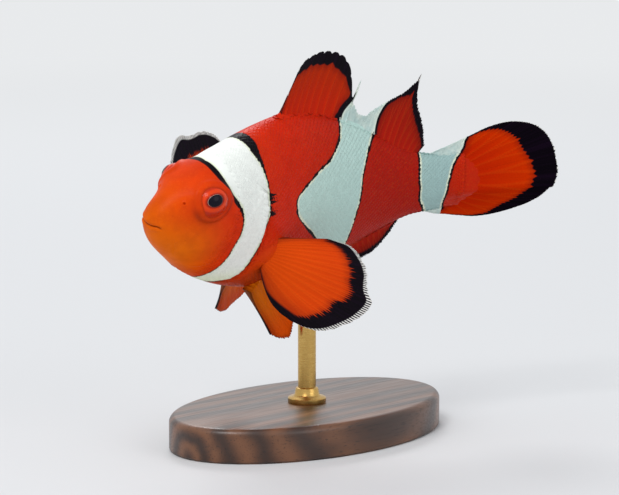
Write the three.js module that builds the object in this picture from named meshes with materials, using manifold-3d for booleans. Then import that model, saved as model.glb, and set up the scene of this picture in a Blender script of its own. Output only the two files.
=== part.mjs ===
// A false clown anemonefish (Amphiprion ocellaris), life size, as a still model on a display stand.
// Millimetres, +Z up. The snout points to -X, the tail to +X, and the fish's left side faces -Y.
// The origin is the middle of the underside of the stand's base.
//
// The fish is first built straight, along X, with its spine on the X axis and its snout at x = 0.
// Its parts are cut there, and then bent into the swimming pose by pose().
import * as THREE from 'three';
import { mergeVertices } from 'three/addons/utils/BufferGeometryUtils.js';
import Module from 'manifold-3d';

const wasm = await Module();
wasm.setup();

// ---- Driving dimensions, in millimetres and degrees ----
const STANDARD_LENGTH = 71;      // snout to the root of the tail fin
const BELLY_HEIGHT = 30;         // height of the belly over the floor, at the rod
const ROD_PLACE = 0.585;         // the belly's point over the origin, as a fraction of that length
const PARTING = 0.3;             // width of the thin cuts between neighbouring parts
const FIN_ROOT = 1.7;            // thickness of a fin at its root
const FIN_EDGE = 0.5;            // thickness of a fin at its edge
const FIN_NOTCH = 0.02;          // how far the edge falls back between two rays, as a share of a ray
const ROOT_DEPTH = 1.4;          // how far a fin's rays are modelled below the skin before the cut
const FIN_REACH = 17.3;          // distance from its root at which a paired fin's curl is given

const EYE = { radius: 2.9, proud: 0.3 };
const COVER_THICKNESS = 1.3;
const ISTHMUS = 1.4;             // half the width left between the gill covers, under the throat
const STAND = {
  length: 58,
  width: 36,
  height: 6,
  bevel: 1.2,
  chamfer: 0.4,
  rod: 1.6,
  entry: 1.5,
  points: 40,
};

// Places along the fish, as fractions of the standard length from the snout, and heights over the
// spine in the same fractions.
const GILL_COVER = {
  front: 0.168,
  rear: 0.294,
  top: 0.066,
  bottom: -0.152,
  roundness: 0.72,
  points: 18,
};
const JAW = { lip: 0.012, mouth: -0.006, corner: 0.05, cornerHeight: -0.03, throat: 0.1 };
const TRUNK_START = 0.304;
const TAIL_STEM_START = 0.888;

// Round swellings on both sides of the body: the orbits, and the fleshy roots of the pectorals.
const ORBIT = { x: 0.107, z: 0.079, radius: 0.048, rise: 0.03 };
const SHOULDER = { x: 0.355, z: -0.1, radius: 0.042, rise: 0.012 };

// Cross-sections are superellipses: 2 is an ellipse, less is narrower towards the edge.
const SECTION = { belly: 2, head: 2.14, back: 1.85 };
const THIN = 0.03;               // half widths under this move less than the rest when the body grows

const CLEAR = 0.1;               // how far a cutting shape reaches past the fish
const RINGS = 36;
const RING_POINTS = 28;
const BALL_POINTS = 14;
const ROD_POINTS = 16;

const DEGREE = Math.PI / 180;

// ---- Curves ----

// A smooth curve through rows of [position, value, value ...], as a function of position.
function curve(rows) {
  const last = rows.length - 1;
  const slope = (i, k) => {
    const before = rows[Math.max(i - 1, 0)];
    const after = rows[Math.min(i + 1, last)];
    return (after[k] - before[k]) / (after[0] - before[0]);
  };
  return (position) => {
    const p = Math.min(Math.max(position, rows[0][0]), rows[last][0]);
    let i = 0;
    while (i < last - 1 && p >= rows[i + 1][0]) i += 1;
    const step = rows[i + 1][0] - rows[i][0];
    const u = (p - rows[i][0]) / step;
    const result = [];
    for (let k = 1; k < rows[0].length; k += 1) {
      const from = (2 * u ** 3 - 3 * u ** 2 + 1) * rows[i][k];
      const to = (3 * u ** 2 - 2 * u ** 3) * rows[i + 1][k];
      const leaving = (u ** 3 - 2 * u ** 2 + u) * step * slope(i, k);
      const arriving = (u ** 3 - u ** 2) * step * slope(i + 1, k);
      result.push(from + to + leaving + arriving);
    }
    return result;
  };
}

function blend(from, to, value) {
  const u = Math.min(Math.max((value - from) / (to - from), 0), 1);
  return u * u * (3 - 2 * u);
}

// ---- The body's form, in fractions of the standard length ----
// Distance from the snout, height of the back, of the belly, half width, height of the widest line.
const BODY_STATIONS = [
  [0, -0.003, -0.003, 0, -0.003],
  [0.008, 0.024, -0.034, 0.027, -0.004],
  [0.03, 0.054, -0.067, 0.045, -0.002],
  [0.075, 0.098, -0.103, 0.064, 0.006],
  [0.145, 0.145, -0.146, 0.081, 0.009],
  [0.235, 0.181, -0.183, 0.092, 0.008],
  [0.34, 0.209, -0.208, 0.098, 0.006],
  [0.45, 0.221, -0.215, 0.096, 0.006],
  [0.56, 0.207, -0.203, 0.085, 0.006],
  [0.67, 0.173, -0.168, 0.067, 0.004],
  [0.78, 0.126, -0.12, 0.047, 0.002],
  [0.87, 0.087, -0.084, 0.032, 0],
  [0.94, 0.075, -0.076, 0.023, 0],
  [1, 0.078, -0.08, 0.016, 0],
];
const bodyAlong = curve(BODY_STATIONS.map((row, i) => [i / (BODY_STATIONS.length - 1), ...row]));
const bodyAt = curve(BODY_STATIONS);

function swelling(x, z) {
  const rise = (bump) => {
    const distance = Math.hypot(x - bump.x, z - bump.z) / bump.radius;
    return bump.rise * Math.exp(-(distance ** 3));
  };
  return rise(ORBIT) + rise(SHOULDER);
}

// One point of the body's surface. around is 0 on the back and turns over the left side.
// grow moves the surface out, or in where it is negative, by millimetres.
function bodyPoint(along, around, grow) {
  const [x, top, bottom, halfWidth, widest] = bodyAlong(along);
  const cosine = Math.cos(around);
  const sine = Math.sin(around);
  const cheek = blend(0.02, 0.12, x);
  const flank = blend(0.16, 0.38, x);
  const headPower = SECTION.belly + (SECTION.head - SECTION.belly) * cheek;
  const backPower = headPower + (SECTION.back - headPower) * flank;
  const power = cosine >= 0 ? backPower : SECTION.belly;
  const side = Math.sign(sine) * Math.abs(sine) ** (2 / power);
  const rise = Math.sign(cosine) * Math.abs(cosine) ** (2 / power);
  const z = widest + rise * (cosine >= 0 ? top - widest : widest - bottom);
  const y = -halfWidth * side - Math.sign(side) * Math.min(2 * Math.abs(side), 1) * swelling(x, z);
  const outward = grow * Math.min(halfWidth / THIN, 1);
  return [
    x * STANDARD_LENGTH + (along === 1 ? grow : 0) - (along === 0 ? grow : 0),
    y * STANDARD_LENGTH - outward * side,
    z * STANDARD_LENGTH + outward * rise,
  ];
}

// ---- The swimming pose ----
// Distance from the snout, and the turn of the spine towards the left, its climb, and the lean of
// the back to the left, in degrees.
const turnAt = curve([[0.05, 4], [0.25, -7], [0.45, -3], [0.75, 14], [1, 26], [1.3, 34]]);
const climbAt = curve([[0.1, -1], [0.5, 2], [0.9, 0], [1.3, 3]]);
const leanAt = curve([[0.1, 19.5], [0.5, 12], [0.9, 10], [1.3, 6]]);

function spineAxes(x) {
  const turn = turnAt(x)[0] * DEGREE;
  const climb = climbAt(x)[0] * DEGREE;
  const lean = leanAt(x)[0] * DEGREE;
  const back = new THREE.Vector3(
    Math.cos(climb) * Math.cos(turn),
    -Math.cos(climb) * Math.sin(turn),
    Math.sin(climb),
  );
  const level = new THREE.Vector3(Math.sin(turn), Math.cos(turn), 0);
  const upright = new THREE.Vector3().crossVectors(back, level);
  const right = level.clone().multiplyScalar(Math.cos(lean)).addScaledVector(upright, Math.sin(lean));
  const up = upright.clone().multiplyScalar(Math.cos(lean)).addScaledVector(level, -Math.sin(lean));
  return { back, right, up };
}

const SPINE_STEP = 0.005;
const SPINE_FIRST = -0.06;
const SPINE_LAST = 1.5;
const spine = [];
for (let x = SPINE_FIRST; x < SPINE_LAST; x += SPINE_STEP) {
  const axes = spineAxes(x);
  const place = new THREE.Vector3();
  if (spine.length > 0) {
    const previous = spine[spine.length - 1];
    const half = (SPINE_STEP * STANDARD_LENGTH) / 2;
    place.copy(previous.place).addScaledVector(previous.back, half).addScaledVector(axes.back, half);
  }
  spine.push({ place, ...axes });
}

// Where a point of the straight fish comes to lie. A fin that swings freely from its root is
// carried whole by the spine at its root, so it keeps its own shape.
function pose([x, y, z], rootX) {
  const along = (rootX ?? x) / STANDARD_LENGTH;
  const index = Math.min(Math.max((along - SPINE_FIRST) / SPINE_STEP, 0), spine.length - 1.001);
  const from = spine[Math.floor(index)];
  const to = spine[Math.floor(index) + 1];
  const u = index - Math.floor(index);
  const mix = (key) => from[key].clone().lerp(to[key], u);
  const place = mix('place').addScaledVector(mix('right'), y).addScaledVector(mix('up'), z);
  if (rootX !== undefined) place.addScaledVector(mix('back'), x - rootX);
  return place;
}

const bellyPoint = pose([ROD_PLACE * STANDARD_LENGTH, 0, bodyAt(ROD_PLACE)[1] * STANDARD_LENGTH]);
bellyPoint.z -= BELLY_HEIGHT;
for (const point of spine) point.place.sub(bellyPoint);

// ---- Solids ----

function solid(points, faces) {
  const geometry = new THREE.BufferGeometry();
  geometry.setAttribute('position', new THREE.BufferAttribute(new Float32Array(points.flat()), 3));
  geometry.setIndex(faces.flat());
  return solidOf(geometry);
}

function solidOf(geometry) {
  const bare = geometry.clone();
  bare.deleteAttribute('normal');
  bare.deleteAttribute('uv');
  const merged = mergeVertices(bare, 1e-4);
  return new wasm.Manifold(new wasm.Mesh({
    numProp: 3,
    vertProperties: new Float32Array(merged.attributes.position.array),
    triVerts: new Uint32Array(merged.index.array),
  }));
}

// A closed tube of rings, with a point at its first end and a flat cap at its last.
function bodySolid(grow) {
  const points = [bodyPoint(0, 0, grow)];
  for (let i = 1; i <= RINGS; i += 1) {
    for (let j = 0; j < RING_POINTS; j += 1) {
      points.push(bodyPoint(i / RINGS, (2 * Math.PI * j) / RING_POINTS, grow));
    }
  }
  const [x, top, bottom] = BODY_STATIONS[BODY_STATIONS.length - 1];
  points.push([x * STANDARD_LENGTH, 0, ((top + bottom) / 2) * STANDARD_LENGTH]);
  const at = (i, j) => 1 + (i - 1) * RING_POINTS + (j % RING_POINTS);
  const faces = [];
  for (let j = 0; j < RING_POINTS; j += 1) {
    faces.push([0, at(1, j + 1), at(1, j)]);
    faces.push([at(RINGS, j), at(RINGS, j + 1), points.length - 1]);
    for (let i = 1; i < RINGS; i += 1) {
      faces.push([at(i, j), at(i, j + 1), at(i + 1, j)]);
      faces.push([at(i + 1, j), at(i, j + 1), at(i + 1, j + 1)]);
    }
  }
  return solid(points, faces);
}

// A wall across the fish between two distances from the snout, in fractions of its length.
function slab(from, to) {
  const size = (to - from) * STANDARD_LENGTH;
  const box = new THREE.BoxGeometry(size, 2 * STANDARD_LENGTH, 2 * STANDARD_LENGTH);
  box.translate(from * STANDARD_LENGTH + size / 2, 0, 0);
  return solidOf(box);
}

// An outline seen from the side, pushed through the fish between two depths to its left.
function sidePrism(outline, near, far) {
  const shape = new THREE.Shape(outline.map(([x, z]) => new THREE.Vector2(x, z)));
  const prism = new THREE.ExtrudeGeometry(shape, { depth: far - near, bevelEnabled: false, steps: 1 });
  prism.rotateX(Math.PI / 2);
  prism.translate(0, -near, 0);
  return solidOf(prism);
}

function ball(center, radius) {
  const sphere = new THREE.SphereGeometry(radius, BALL_POINTS, BALL_POINTS / 2 + 1);
  sphere.rotateX(Math.PI / 2);
  sphere.translate(...center);
  return solidOf(sphere);
}

function uprightRod(radius, bottom, top) {
  const cylinder = new THREE.CylinderGeometry(radius, radius, top - bottom, ROD_POINTS);
  cylinder.rotateX(Math.PI / 2);
  cylinder.translate(0, 0, (top + bottom) / 2);
  return solidOf(cylinder);
}

// Every point of a solid of the straight fish, carried into the pose.
function posed(shape, rootX) {
  return shape.warp((vertex) => {
    const place = pose([vertex[0], vertex[1], vertex[2]], rootX);
    vertex[0] = place.x;
    vertex[1] = place.y;
    vertex[2] = place.z;
  });
}

// ---- Fins ----

// A fin is a fan of rays. root and tip give, for each share of the way from the first ray to the
// last, where the ray starts and ends; bow lifts its middle off the straight line between them.
// ridge is how much a ray's root is thicker than the membrane beside it.
function fin({ rays, rows, root, tip, bow, ridge }) {
  const middle = (share, out) => {
    const from = root(share);
    const to = tip(share);
    const lift = bow ? bow(share) : [0, 0, 0];
    return from.map((value, k) => value + (to[k] - value) * out + 4 * out * (1 - out) * lift[k]);
  };
  const normal = (share, out) => {
    const e = 1e-3;
    const across = new THREE.Vector3(...middle(Math.min(share + e, 1), out))
      .sub(new THREE.Vector3(...middle(Math.max(share - e, 0), out)));
    const outward = new THREE.Vector3(...middle(share, Math.min(out + e, 1)))
      .sub(new THREE.Vector3(...middle(share, Math.max(out - e, 0))));
    return across.cross(outward).normalize();
  };
  const columns = 2 * rays - 1;
  const points = [];
  for (const face of [1, -1]) {
    for (let i = 0; i < columns; i += 1) {
      for (let j = 0; j <= rows; j += 1) {
        const share = i / (columns - 1);
        const out = j / rows;
        const onRay = i % 2 === 0;
        const reach = onRay ? out : out * (1 - FIN_NOTCH);
        const membrane = FIN_ROOT + (FIN_EDGE - FIN_ROOT) * Math.sqrt(out);
        const thickness = membrane + (onRay ? ridge * (1 - out) : 0);
        const side = normal(share, reach);
        const center = middle(share, reach);
        points.push([side.x, side.y, side.z].map((n, k) => center[k] + (face * n * thickness) / 2));
      }
    }
  }
  const at = (face, i, j) => face * columns * (rows + 1) + i * (rows + 1) + j;
  const faces = [];
  const quad = (a, b, c, d) => faces.push([a, b, c], [a, c, d]);
  for (let i = 0; i < columns - 1; i += 1) {
    for (let j = 0; j < rows; j += 1) {
      quad(at(0, i, j), at(0, i + 1, j), at(0, i + 1, j + 1), at(0, i, j + 1));
      quad(at(1, i, j), at(1, i, j + 1), at(1, i + 1, j + 1), at(1, i + 1, j));
    }
    quad(at(0, i, rows), at(0, i + 1, rows), at(1, i + 1, rows), at(1, i, rows));
    quad(at(0, i + 1, 0), at(0, i, 0), at(1, i, 0), at(1, i + 1, 0));
  }
  for (let j = 0; j < rows; j += 1) {
    quad(at(0, 0, j), at(0, 0, j + 1), at(1, 0, j + 1), at(1, 0, j));
    const end = columns - 1;
    quad(at(0, end, j + 1), at(0, end, j), at(1, end, j), at(1, end, j + 1));
  }
  return solid(points, faces);
}

// A fin on the fish's middle plane. Each row is the share of the way along the fin, the ray's root
// along the body, and its tip's distance from the snout and height, in fractions of the length.
function medianFin(rows, edge, options) {
  const along = curve(rows);
  const root = (share) => {
    const [x] = along(share);
    const [top, bottom] = bodyAt(x);
    const z = edge > 0 ? top : bottom;
    return [x * STANDARD_LENGTH, 0, z * STANDARD_LENGTH - edge * ROOT_DEPTH];
  };
  const tip = (share) => {
    const [, x, z] = along(share);
    return [x * STANDARD_LENGTH, 0, z * STANDARD_LENGTH];
  };
  return fin({ root, tip, ...options });
}

// The last spine and the longest soft ray end in short points that stand clear of the membrane.
const SPINY_DORSAL = [
  [0, 0.4, 0.424, 0.27],
  [0.12, 0.42, 0.468, 0.335],
  [0.3, 0.46, 0.525, 0.357],
  [0.5, 0.51, 0.578, 0.363],
  [0.7, 0.565, 0.628, 0.347],
  [0.84, 0.61, 0.66, 0.303],
  [0.93, 0.635, 0.672, 0.25],
  [0.97, 0.643, 0.682, 0.238],
  [1, 0.65, 0.691, 0.272],
];
const SOFT_DORSAL = [
  [0, 0.658, 0.694, 0.214],
  [0.12, 0.686, 0.72, 0.188],
  [0.2, 0.704, 0.737, 0.197],
  [0.3, 0.726, 0.765, 0.21],
  [0.42, 0.752, 0.8, 0.226],
  [0.54, 0.778, 0.836, 0.244],
  [0.64, 0.8, 0.868, 0.268],
  [0.68, 0.808, 0.868, 0.232],
  [0.74, 0.82, 0.876, 0.199],
  [0.86, 0.845, 0.892, 0.155],
  [1, 0.872, 0.903, 0.1],
];
const ANAL = [
  [0, 0.64, 0.662, -0.2],
  [0.2, 0.68, 0.712, -0.2],
  [0.45, 0.725, 0.755, -0.186],
  [0.7, 0.775, 0.795, -0.166],
  [0.88, 0.81, 0.828, -0.13],
  [1, 0.83, 0.847, -0.1],
];

// The tail fin. Its first and last rays are short ones that start back along the tail stem. Each row
// is the share of the way down the fin, the ray's root and its tip, both as distance from the snout
// and height.
const CAUDAL_UPPER_HALF = [
  [0, 0.912, 0.066, 0.922, 0.0795],
  [0.07, 0.94, 0.064, 0.985, 0.1005],
  [0.13, 0.965, 0.062, 1.035, 0.119],
  [0.19, 0.985, 0.058, 1.092, 0.14],
  [0.25, 0.995, 0.05, 1.152, 0.148],
  [0.33, 1, 0.036, 1.216, 0.134],
  [0.41, 1, 0.02, 1.258, 0.09],
];
const CAUDAL = [
  ...CAUDAL_UPPER_HALF,
  [0.5, 1, 0, 1.277, 0],
  ...CAUDAL_UPPER_HALF.map(([share, ...rest]) => [1 - share, rest[0], -rest[1], rest[2], -rest[3]])
    .reverse(),
];
const CAUDAL_BOW = 0.05;         // how far the outer rays curve outwards, as a share of their length

// The lower part of the tail folds away to the right: the fold's angle in degrees by distance from
// the snout, and the height of its line.
const foldAt = curve([[0.9, 0], [0.94, 6], [0.985, 20], [1.05, 31], [1.15, 43], [1.28, 53]]);
const FOLD = { line: -0.02, crease: 2 };

function folded(shape) {
  return shape.warp((vertex) => {
    const [x, y, z] = vertex;
    const below = FOLD.line * STANDARD_LENGTH - z;
    if (below <= 0) return;
    const angle = foldAt(x / STANDARD_LENGTH)[0] * DEGREE * Math.min(below / FOLD.crease, 1);
    vertex[1] = y + below * Math.sin(angle);
    vertex[2] = z + below * (1 - Math.cos(angle));
  });
}

function caudalFin() {
  const along = curve(CAUDAL);
  const root = (share) => {
    const [x, z] = along(share);
    return [x * STANDARD_LENGTH, 0, z * STANDARD_LENGTH];
  };
  const tip = (share) => {
    const [, , x, z] = along(share);
    return [x * STANDARD_LENGTH, 0, z * STANDARD_LENGTH];
  };
  const bow = (share) => {
    const [x, z] = [0, 2].map((k) => tip(share)[k] - root(share)[k]);
    return [0, 0, CAUDAL_BOW * Math.hypot(x, z) * (1 - 2 * share) * Math.abs(1 - 2 * share)];
  };
  return fin({ rays: 14, rows: 4, root, tip, bow, ridge: 0.2 });
}

// A paired fin is drawn flat, in millimetres: out along its middle ray, and across, with its last
// edge bulging outwards. It is then cupped, turned and set on the body.
function pairedFin({ outline, rootSpan, cup, bulge, rays, rows, at, out, across }) {
  const along = curve(outline);
  const outward = new THREE.Vector3(...out).normalize();
  const sideways = new THREE.Vector3(...across);
  sideways.addScaledVector(outward, -sideways.dot(outward)).normalize();
  const face = new THREE.Vector3().crossVectors(outward, sideways);
  const place = (u, v) => {
    const lift = cup * (u / FIN_REACH) ** 2;
    return new THREE.Vector3(...at.map((value) => value * STANDARD_LENGTH))
      .addScaledVector(outward, u)
      .addScaledVector(sideways, v)
      .addScaledVector(face, lift)
      .toArray();
  };
  const root = (share) => place(-ROOT_DEPTH, rootSpan * (0.5 - share));
  const tip = (share) => {
    const [angle, length] = along(share);
    return place(
      length * Math.cos(angle * DEGREE),
      rootSpan * (0.5 - share) + length * Math.sin(angle * DEGREE),
    );
  };
  const bow = (share) => sideways.toArray().map((value) => -value * bulge * share ** 5);
  return fin({ rays, rows, root, tip, bow, ridge: 0.2 });
}

// Share of the way from the first ray to the last, the ray's angle to the fin's middle line, and
// its length.
const PECTORAL = [
  [0, 27, 8],
  [0.1, 26.5, 9.9],
  [0.2, 24.5, 12.4],
  [0.35, 18, 14.9],
  [0.45, 12, 16.2],
  [0.52, 7.5, 16.7],
  [0.565, 4, 17.4],
  [0.61, 0, 18.7],
  [0.7, -7.3, 18.1],
  [0.8, -16.7, 16.3],
  [0.88, -25, 14.5],
  [0.94, -33, 12.1],
  [1, -43, 8.3],
];
const PELVIC = [
  [0, 8, 9.5],
  [0.25, 4, 14.3],
  [0.5, 0, 16],
  [0.75, -4, 15],
  [1, -8, 11.5],
];

const PAIRED_FINS = {
  pectoral_fin_left: {
    outline: PECTORAL, rootSpan: 5.9, cup: 1, bulge: 1.5, rays: 12, rows: 5,
    at: [0.362, -0.092, -0.102], out: [0.62, -0.72, -0.25], across: [0.3, -0.2, 0.9],
  },
  pectoral_fin_right: {
    outline: PECTORAL, rootSpan: 5.9, cup: -0.7, bulge: 1.5, rays: 12, rows: 5,
    at: [0.376, 0.091, -0.058], out: [0.25, 0.83, 0.5], across: [0, -0.51, 0.86],
  },
  pelvic_fin_left: {
    outline: PELVIC, rootSpan: 4.2, cup: 0.6, bulge: 0, rays: 6, rows: 3,
    at: [0.385, -0.035, -0.2], out: [0.75, 0, -0.66], across: [0.8, 0, 0.5],
  },
  pelvic_fin_right: {
    outline: PELVIC, rootSpan: 4.2, cup: -0.6, bulge: 0, rays: 6, rows: 3,
    at: [0.385, 0.035, -0.2], out: [0.6, 0.42, -0.62], across: [0.7, -0.3, 0.5],
  },
};

// ---- Materials ----
const material = (color, roughness, metalness = 0) => (
  new THREE.MeshStandardMaterial({ color, roughness, metalness })
);
const ORANGE = material(0xe8500c, 0.45);
const DEEP_ORANGE = material(0xd03408, 0.45);
const WHITE = material(0xdfe8ea, 0.45);
const FIN_ORANGE = material(0xee5508, 0.5);
const EYE_DARK = material(0x140a0a, 0.12);
const BRASS = material(0xb08d4a, 0.3, 1);
const WALNUT = material(0x2e1c12, 0.4);

// ---- Assembly ----
const group = new THREE.Group();

function addPart(name, shape, look) {
  const mesh = shape.getMesh();
  const geometry = new THREE.BufferGeometry();
  geometry.setAttribute('position', new THREE.BufferAttribute(mesh.vertProperties, 3));
  geometry.setIndex(new THREE.BufferAttribute(mesh.triVerts, 1));
  geometry.computeVertexNormals();
  const part = new THREE.Mesh(geometry, look);
  part.name = name;
  group.add(part);
}

const body = bodySolid(0);
const bodyWithGap = bodySolid(PARTING);
const parting = PARTING / STANDARD_LENGTH;

// Eyes: a ball on each side, sunk square to the head and standing a little proud of it.
function eyeCenter(side) {
  const s = STANDARD_LENGTH;
  const off = ({ x, z }) => Math.hypot(x - ORBIT.x * s, z - ORBIT.z * s);
  const at = (along, around) => new THREE.Vector3(...bodyPoint(along, around * DEGREE, 0));
  let best = { along: 0, around: 0 };
  for (let around = 0; around < 90; around += 1) {
    for (let along = 0; along < 0.5; along += 0.005) {
      if (off(at(along, around)) < off(at(best.along, best.around))) best = { along, around };
    }
  }
  const lengthwise = at(best.along + 0.01, best.around).sub(at(best.along - 0.01, best.around));
  const roundwise = at(best.along, best.around + 2).sub(at(best.along, best.around - 2));
  const inward = lengthwise.cross(roundwise).normalize();
  if (inward.y < 0) inward.negate();
  const center = at(best.along, best.around).addScaledVector(inward, EYE.radius - EYE.proud);
  return [center.x, side * Math.abs(center.y), center.z];
}
const sockets = [-1, 1].map((side) => ball(eyeCenter(side), EYE.radius + PARTING));
addPart('eye_left', posed(ball(eyeCenter(-1), EYE.radius)), EYE_DARK);
addPart('eye_right', posed(ball(eyeCenter(1), EYE.radius)), EYE_DARK);

// The lower jaw, parted from the head along the mouth and the line down to the throat.
function jawOutline(grow) {
  const s = STANDARD_LENGTH;
  return [
    [-CLEAR * s, JAW.mouth * s + grow],
    [JAW.lip * s, JAW.mouth * s + grow],
    [JAW.corner * s + grow, JAW.cornerHeight * s + grow],
    [JAW.throat * s + grow, GILL_COVER.bottom * s],
    [-CLEAR * s, GILL_COVER.bottom * s],
  ];
}
const jaw = body.intersect(sidePrism(jawOutline(0), -STANDARD_LENGTH, STANDARD_LENGTH));
const jawSpace = sidePrism(jawOutline(PARTING), -STANDARD_LENGTH, STANDARD_LENGTH);

// The gill covers: plates of the body's own surface, with a round rear edge.
function gillOutline(grow) {
  const { front, rear, top, bottom } = GILL_COVER;
  const height = (top - bottom) / 2 * STANDARD_LENGTH + grow;
  const length = (rear - front) / 2 * STANDARD_LENGTH + grow;
  const center = [(front + rear) / 2 * STANDARD_LENGTH, (top + bottom) / 2 * STANDARD_LENGTH];
  const outline = [];
  for (let i = 0; i < GILL_COVER.points; i += 1) {
    const angle = (2 * Math.PI * i) / GILL_COVER.points;
    const corner = (value) => Math.sign(value) * Math.abs(value) ** GILL_COVER.roundness;
    const x = center[0] + length * corner(Math.cos(angle));
    const z = center[1] + height * corner(Math.sin(angle));
    outline.push([x, z]);
  }
  return outline;
}
const coverDepth = bodySolid(-COVER_THICKNESS);
const coverBed = bodySolid(-COVER_THICKNESS - PARTING);
const coverSpaces = [];
for (const [name, near, far] of [
  ['gill_cover_left', ISTHMUS, STANDARD_LENGTH],
  ['gill_cover_right', -STANDARD_LENGTH, -ISTHMUS],
]) {
  const cover = body.intersect(sidePrism(gillOutline(0), near, far)).subtract(coverDepth);
  const widened = sidePrism(gillOutline(PARTING), near - PARTING, far + PARTING);
  addPart(name, posed(cover), ORANGE);
  coverSpaces.push(widened.subtract(coverBed));
}
addPart('lower_jaw', posed(jaw), ORANGE);

let head = body.intersect(slab(-CLEAR, TRUNK_START)).subtract(jawSpace);
for (const space of [...sockets, ...coverSpaces]) head = head.subtract(space);
addPart('head', posed(head), ORANGE);

// The trunk, with a blind hole in its belly for the rod, and the tail stem.
const rodTop = BELLY_HEIGHT + STAND.entry;
const rodHole = uprightRod(STAND.rod + PARTING, 0, rodTop + PARTING);
const trunk = body.intersect(slab(TRUNK_START + parting, TAIL_STEM_START));
const tailStem = body.intersect(slab(TAIL_STEM_START + parting, 1 + CLEAR));
addPart('trunk', posed(trunk).subtract(rodHole), DEEP_ORANGE);
addPart('tail_stem', posed(folded(tailStem)), WHITE);

// Fins on the middle plane.
const medianFins = {
  dorsal_fin_spiny: medianFin(SPINY_DORSAL, 1, { rays: 11, rows: 3, ridge: 0.25 }),
  dorsal_fin_soft: medianFin(SOFT_DORSAL, 1, { rays: 9, rows: 3, ridge: 0.2 }),
  anal_fin: medianFin(ANAL, -1, { rays: 8, rows: 3, ridge: 0.2 }),
  caudal_fin: caudalFin(),
};
for (const [name, shape] of Object.entries(medianFins)) {
  const cut = shape.subtract(bodyWithGap);
  addPart(name, posed(name === 'caudal_fin' ? folded(cut) : cut), FIN_ORANGE);
}

// Paired fins.
for (const [name, plan] of Object.entries(PAIRED_FINS)) {
  addPart(name, posed(pairedFin(plan).subtract(bodyWithGap), plan.at[0] * STANDARD_LENGTH), FIN_ORANGE);
}

// The stand: an oval base with a bevelled edge, and one slim rod up to the belly.
function baseSolid() {
  const { height, bevel, chamfer } = STAND;
  const levels = [[0, chamfer], [chamfer, 0], [height - bevel, 0], [height, bevel]];
  const points = [];
  for (const [z, inset] of levels) {
    for (let i = 0; i < STAND.points; i += 1) {
      const angle = (2 * Math.PI * i) / STAND.points;
      const x = (STAND.length / 2 - inset) * Math.cos(angle);
      const y = (STAND.width / 2 - inset) * Math.sin(angle);
      points.push([x, y, z]);
    }
  }
  points.push([0, 0, 0], [0, 0, height]);
  const faces = [];
  const top = levels.length - 1;
  const at = (level, i) => level * STAND.points + (i % STAND.points);
  for (let i = 0; i < STAND.points; i += 1) {
    for (let level = 0; level < top; level += 1) {
      faces.push([at(level, i), at(level, i + 1), at(level + 1, i)]);
      faces.push([at(level, i + 1), at(level + 1, i + 1), at(level + 1, i)]);
    }
    faces.push([at(0, i + 1), at(0, i), points.length - 2]);
    faces.push([at(top, i), at(top, i + 1), points.length - 1]);
  }
  return solid(points, faces);
}
addPart('stand_base', baseSolid(), WALNUT);
addPart('stand_rod', uprightRod(STAND.rod, STAND.height + PARTING, rodTop), BRASS);

export default group;
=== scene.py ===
import math

import bpy
import numpy as np
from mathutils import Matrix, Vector


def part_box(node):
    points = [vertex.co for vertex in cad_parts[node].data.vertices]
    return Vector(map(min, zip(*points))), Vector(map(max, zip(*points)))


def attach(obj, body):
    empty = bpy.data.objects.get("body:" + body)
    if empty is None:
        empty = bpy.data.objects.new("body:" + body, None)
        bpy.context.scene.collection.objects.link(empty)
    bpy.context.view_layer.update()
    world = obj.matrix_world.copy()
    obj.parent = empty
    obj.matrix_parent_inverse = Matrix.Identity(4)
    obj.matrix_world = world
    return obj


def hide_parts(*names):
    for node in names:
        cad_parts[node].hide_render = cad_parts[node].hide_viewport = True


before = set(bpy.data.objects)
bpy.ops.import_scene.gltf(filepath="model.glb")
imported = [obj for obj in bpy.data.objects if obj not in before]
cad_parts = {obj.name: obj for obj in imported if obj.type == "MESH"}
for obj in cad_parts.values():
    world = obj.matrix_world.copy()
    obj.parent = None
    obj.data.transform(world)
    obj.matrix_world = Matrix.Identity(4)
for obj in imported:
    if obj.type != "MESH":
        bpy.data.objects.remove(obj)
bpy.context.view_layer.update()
RANDOM = np.random.default_rng(7)

# ---- Driving dimensions, in millimetres unless they say otherwise ----
MM = 0.001                 # metres in a millimetre
LENGTH = 71.0              # snout to the root of the tail fin
BELLY_HEIGHT = 30.0        # height of the belly over the floor, at the rod
ROD_PLACE = 0.585          # the belly's point over the origin, as a fraction of LENGTH
COAT = 0.16                # depth of the skin under the solids where scales cover it
ROOT_DEPTH = 1.4           # how far the fins reach in under the skin
FIN_SHEATH = 0.5           # how far the skin rises along the fins on the middle plane
FIN_REACH = 17.3           # distance from its root at which a paired fin's curl is given
TAIL_CAP = 0.085           # how far the skin runs on over the tail rays' roots, by LENGTH
FOLD = {"line": -0.02, "crease": 2}    # the tail fin's fold: its height by LENGTH, its width
EYE = {"radius": 2.9, "proud": 0.3, "hollow": 0.9}
LENS = {"radius": 1.2, "rise": 0.12, "rim": 1.3, "rim_depth": 0.05, "rim_width": 0.12}

# Swellings of the body, by LENGTH, and the powers of the superellipses that its sections are.
ORBIT = {"x": 0.107, "z": 0.079, "radius": 0.048, "rise": 0.03}
SHOULDER = {"x": 0.355, "z": -0.1, "radius": 0.042, "rise": 0.012}
SECTION = {"belly": 2.0, "head": 2.14, "back": 1.85}

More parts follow.
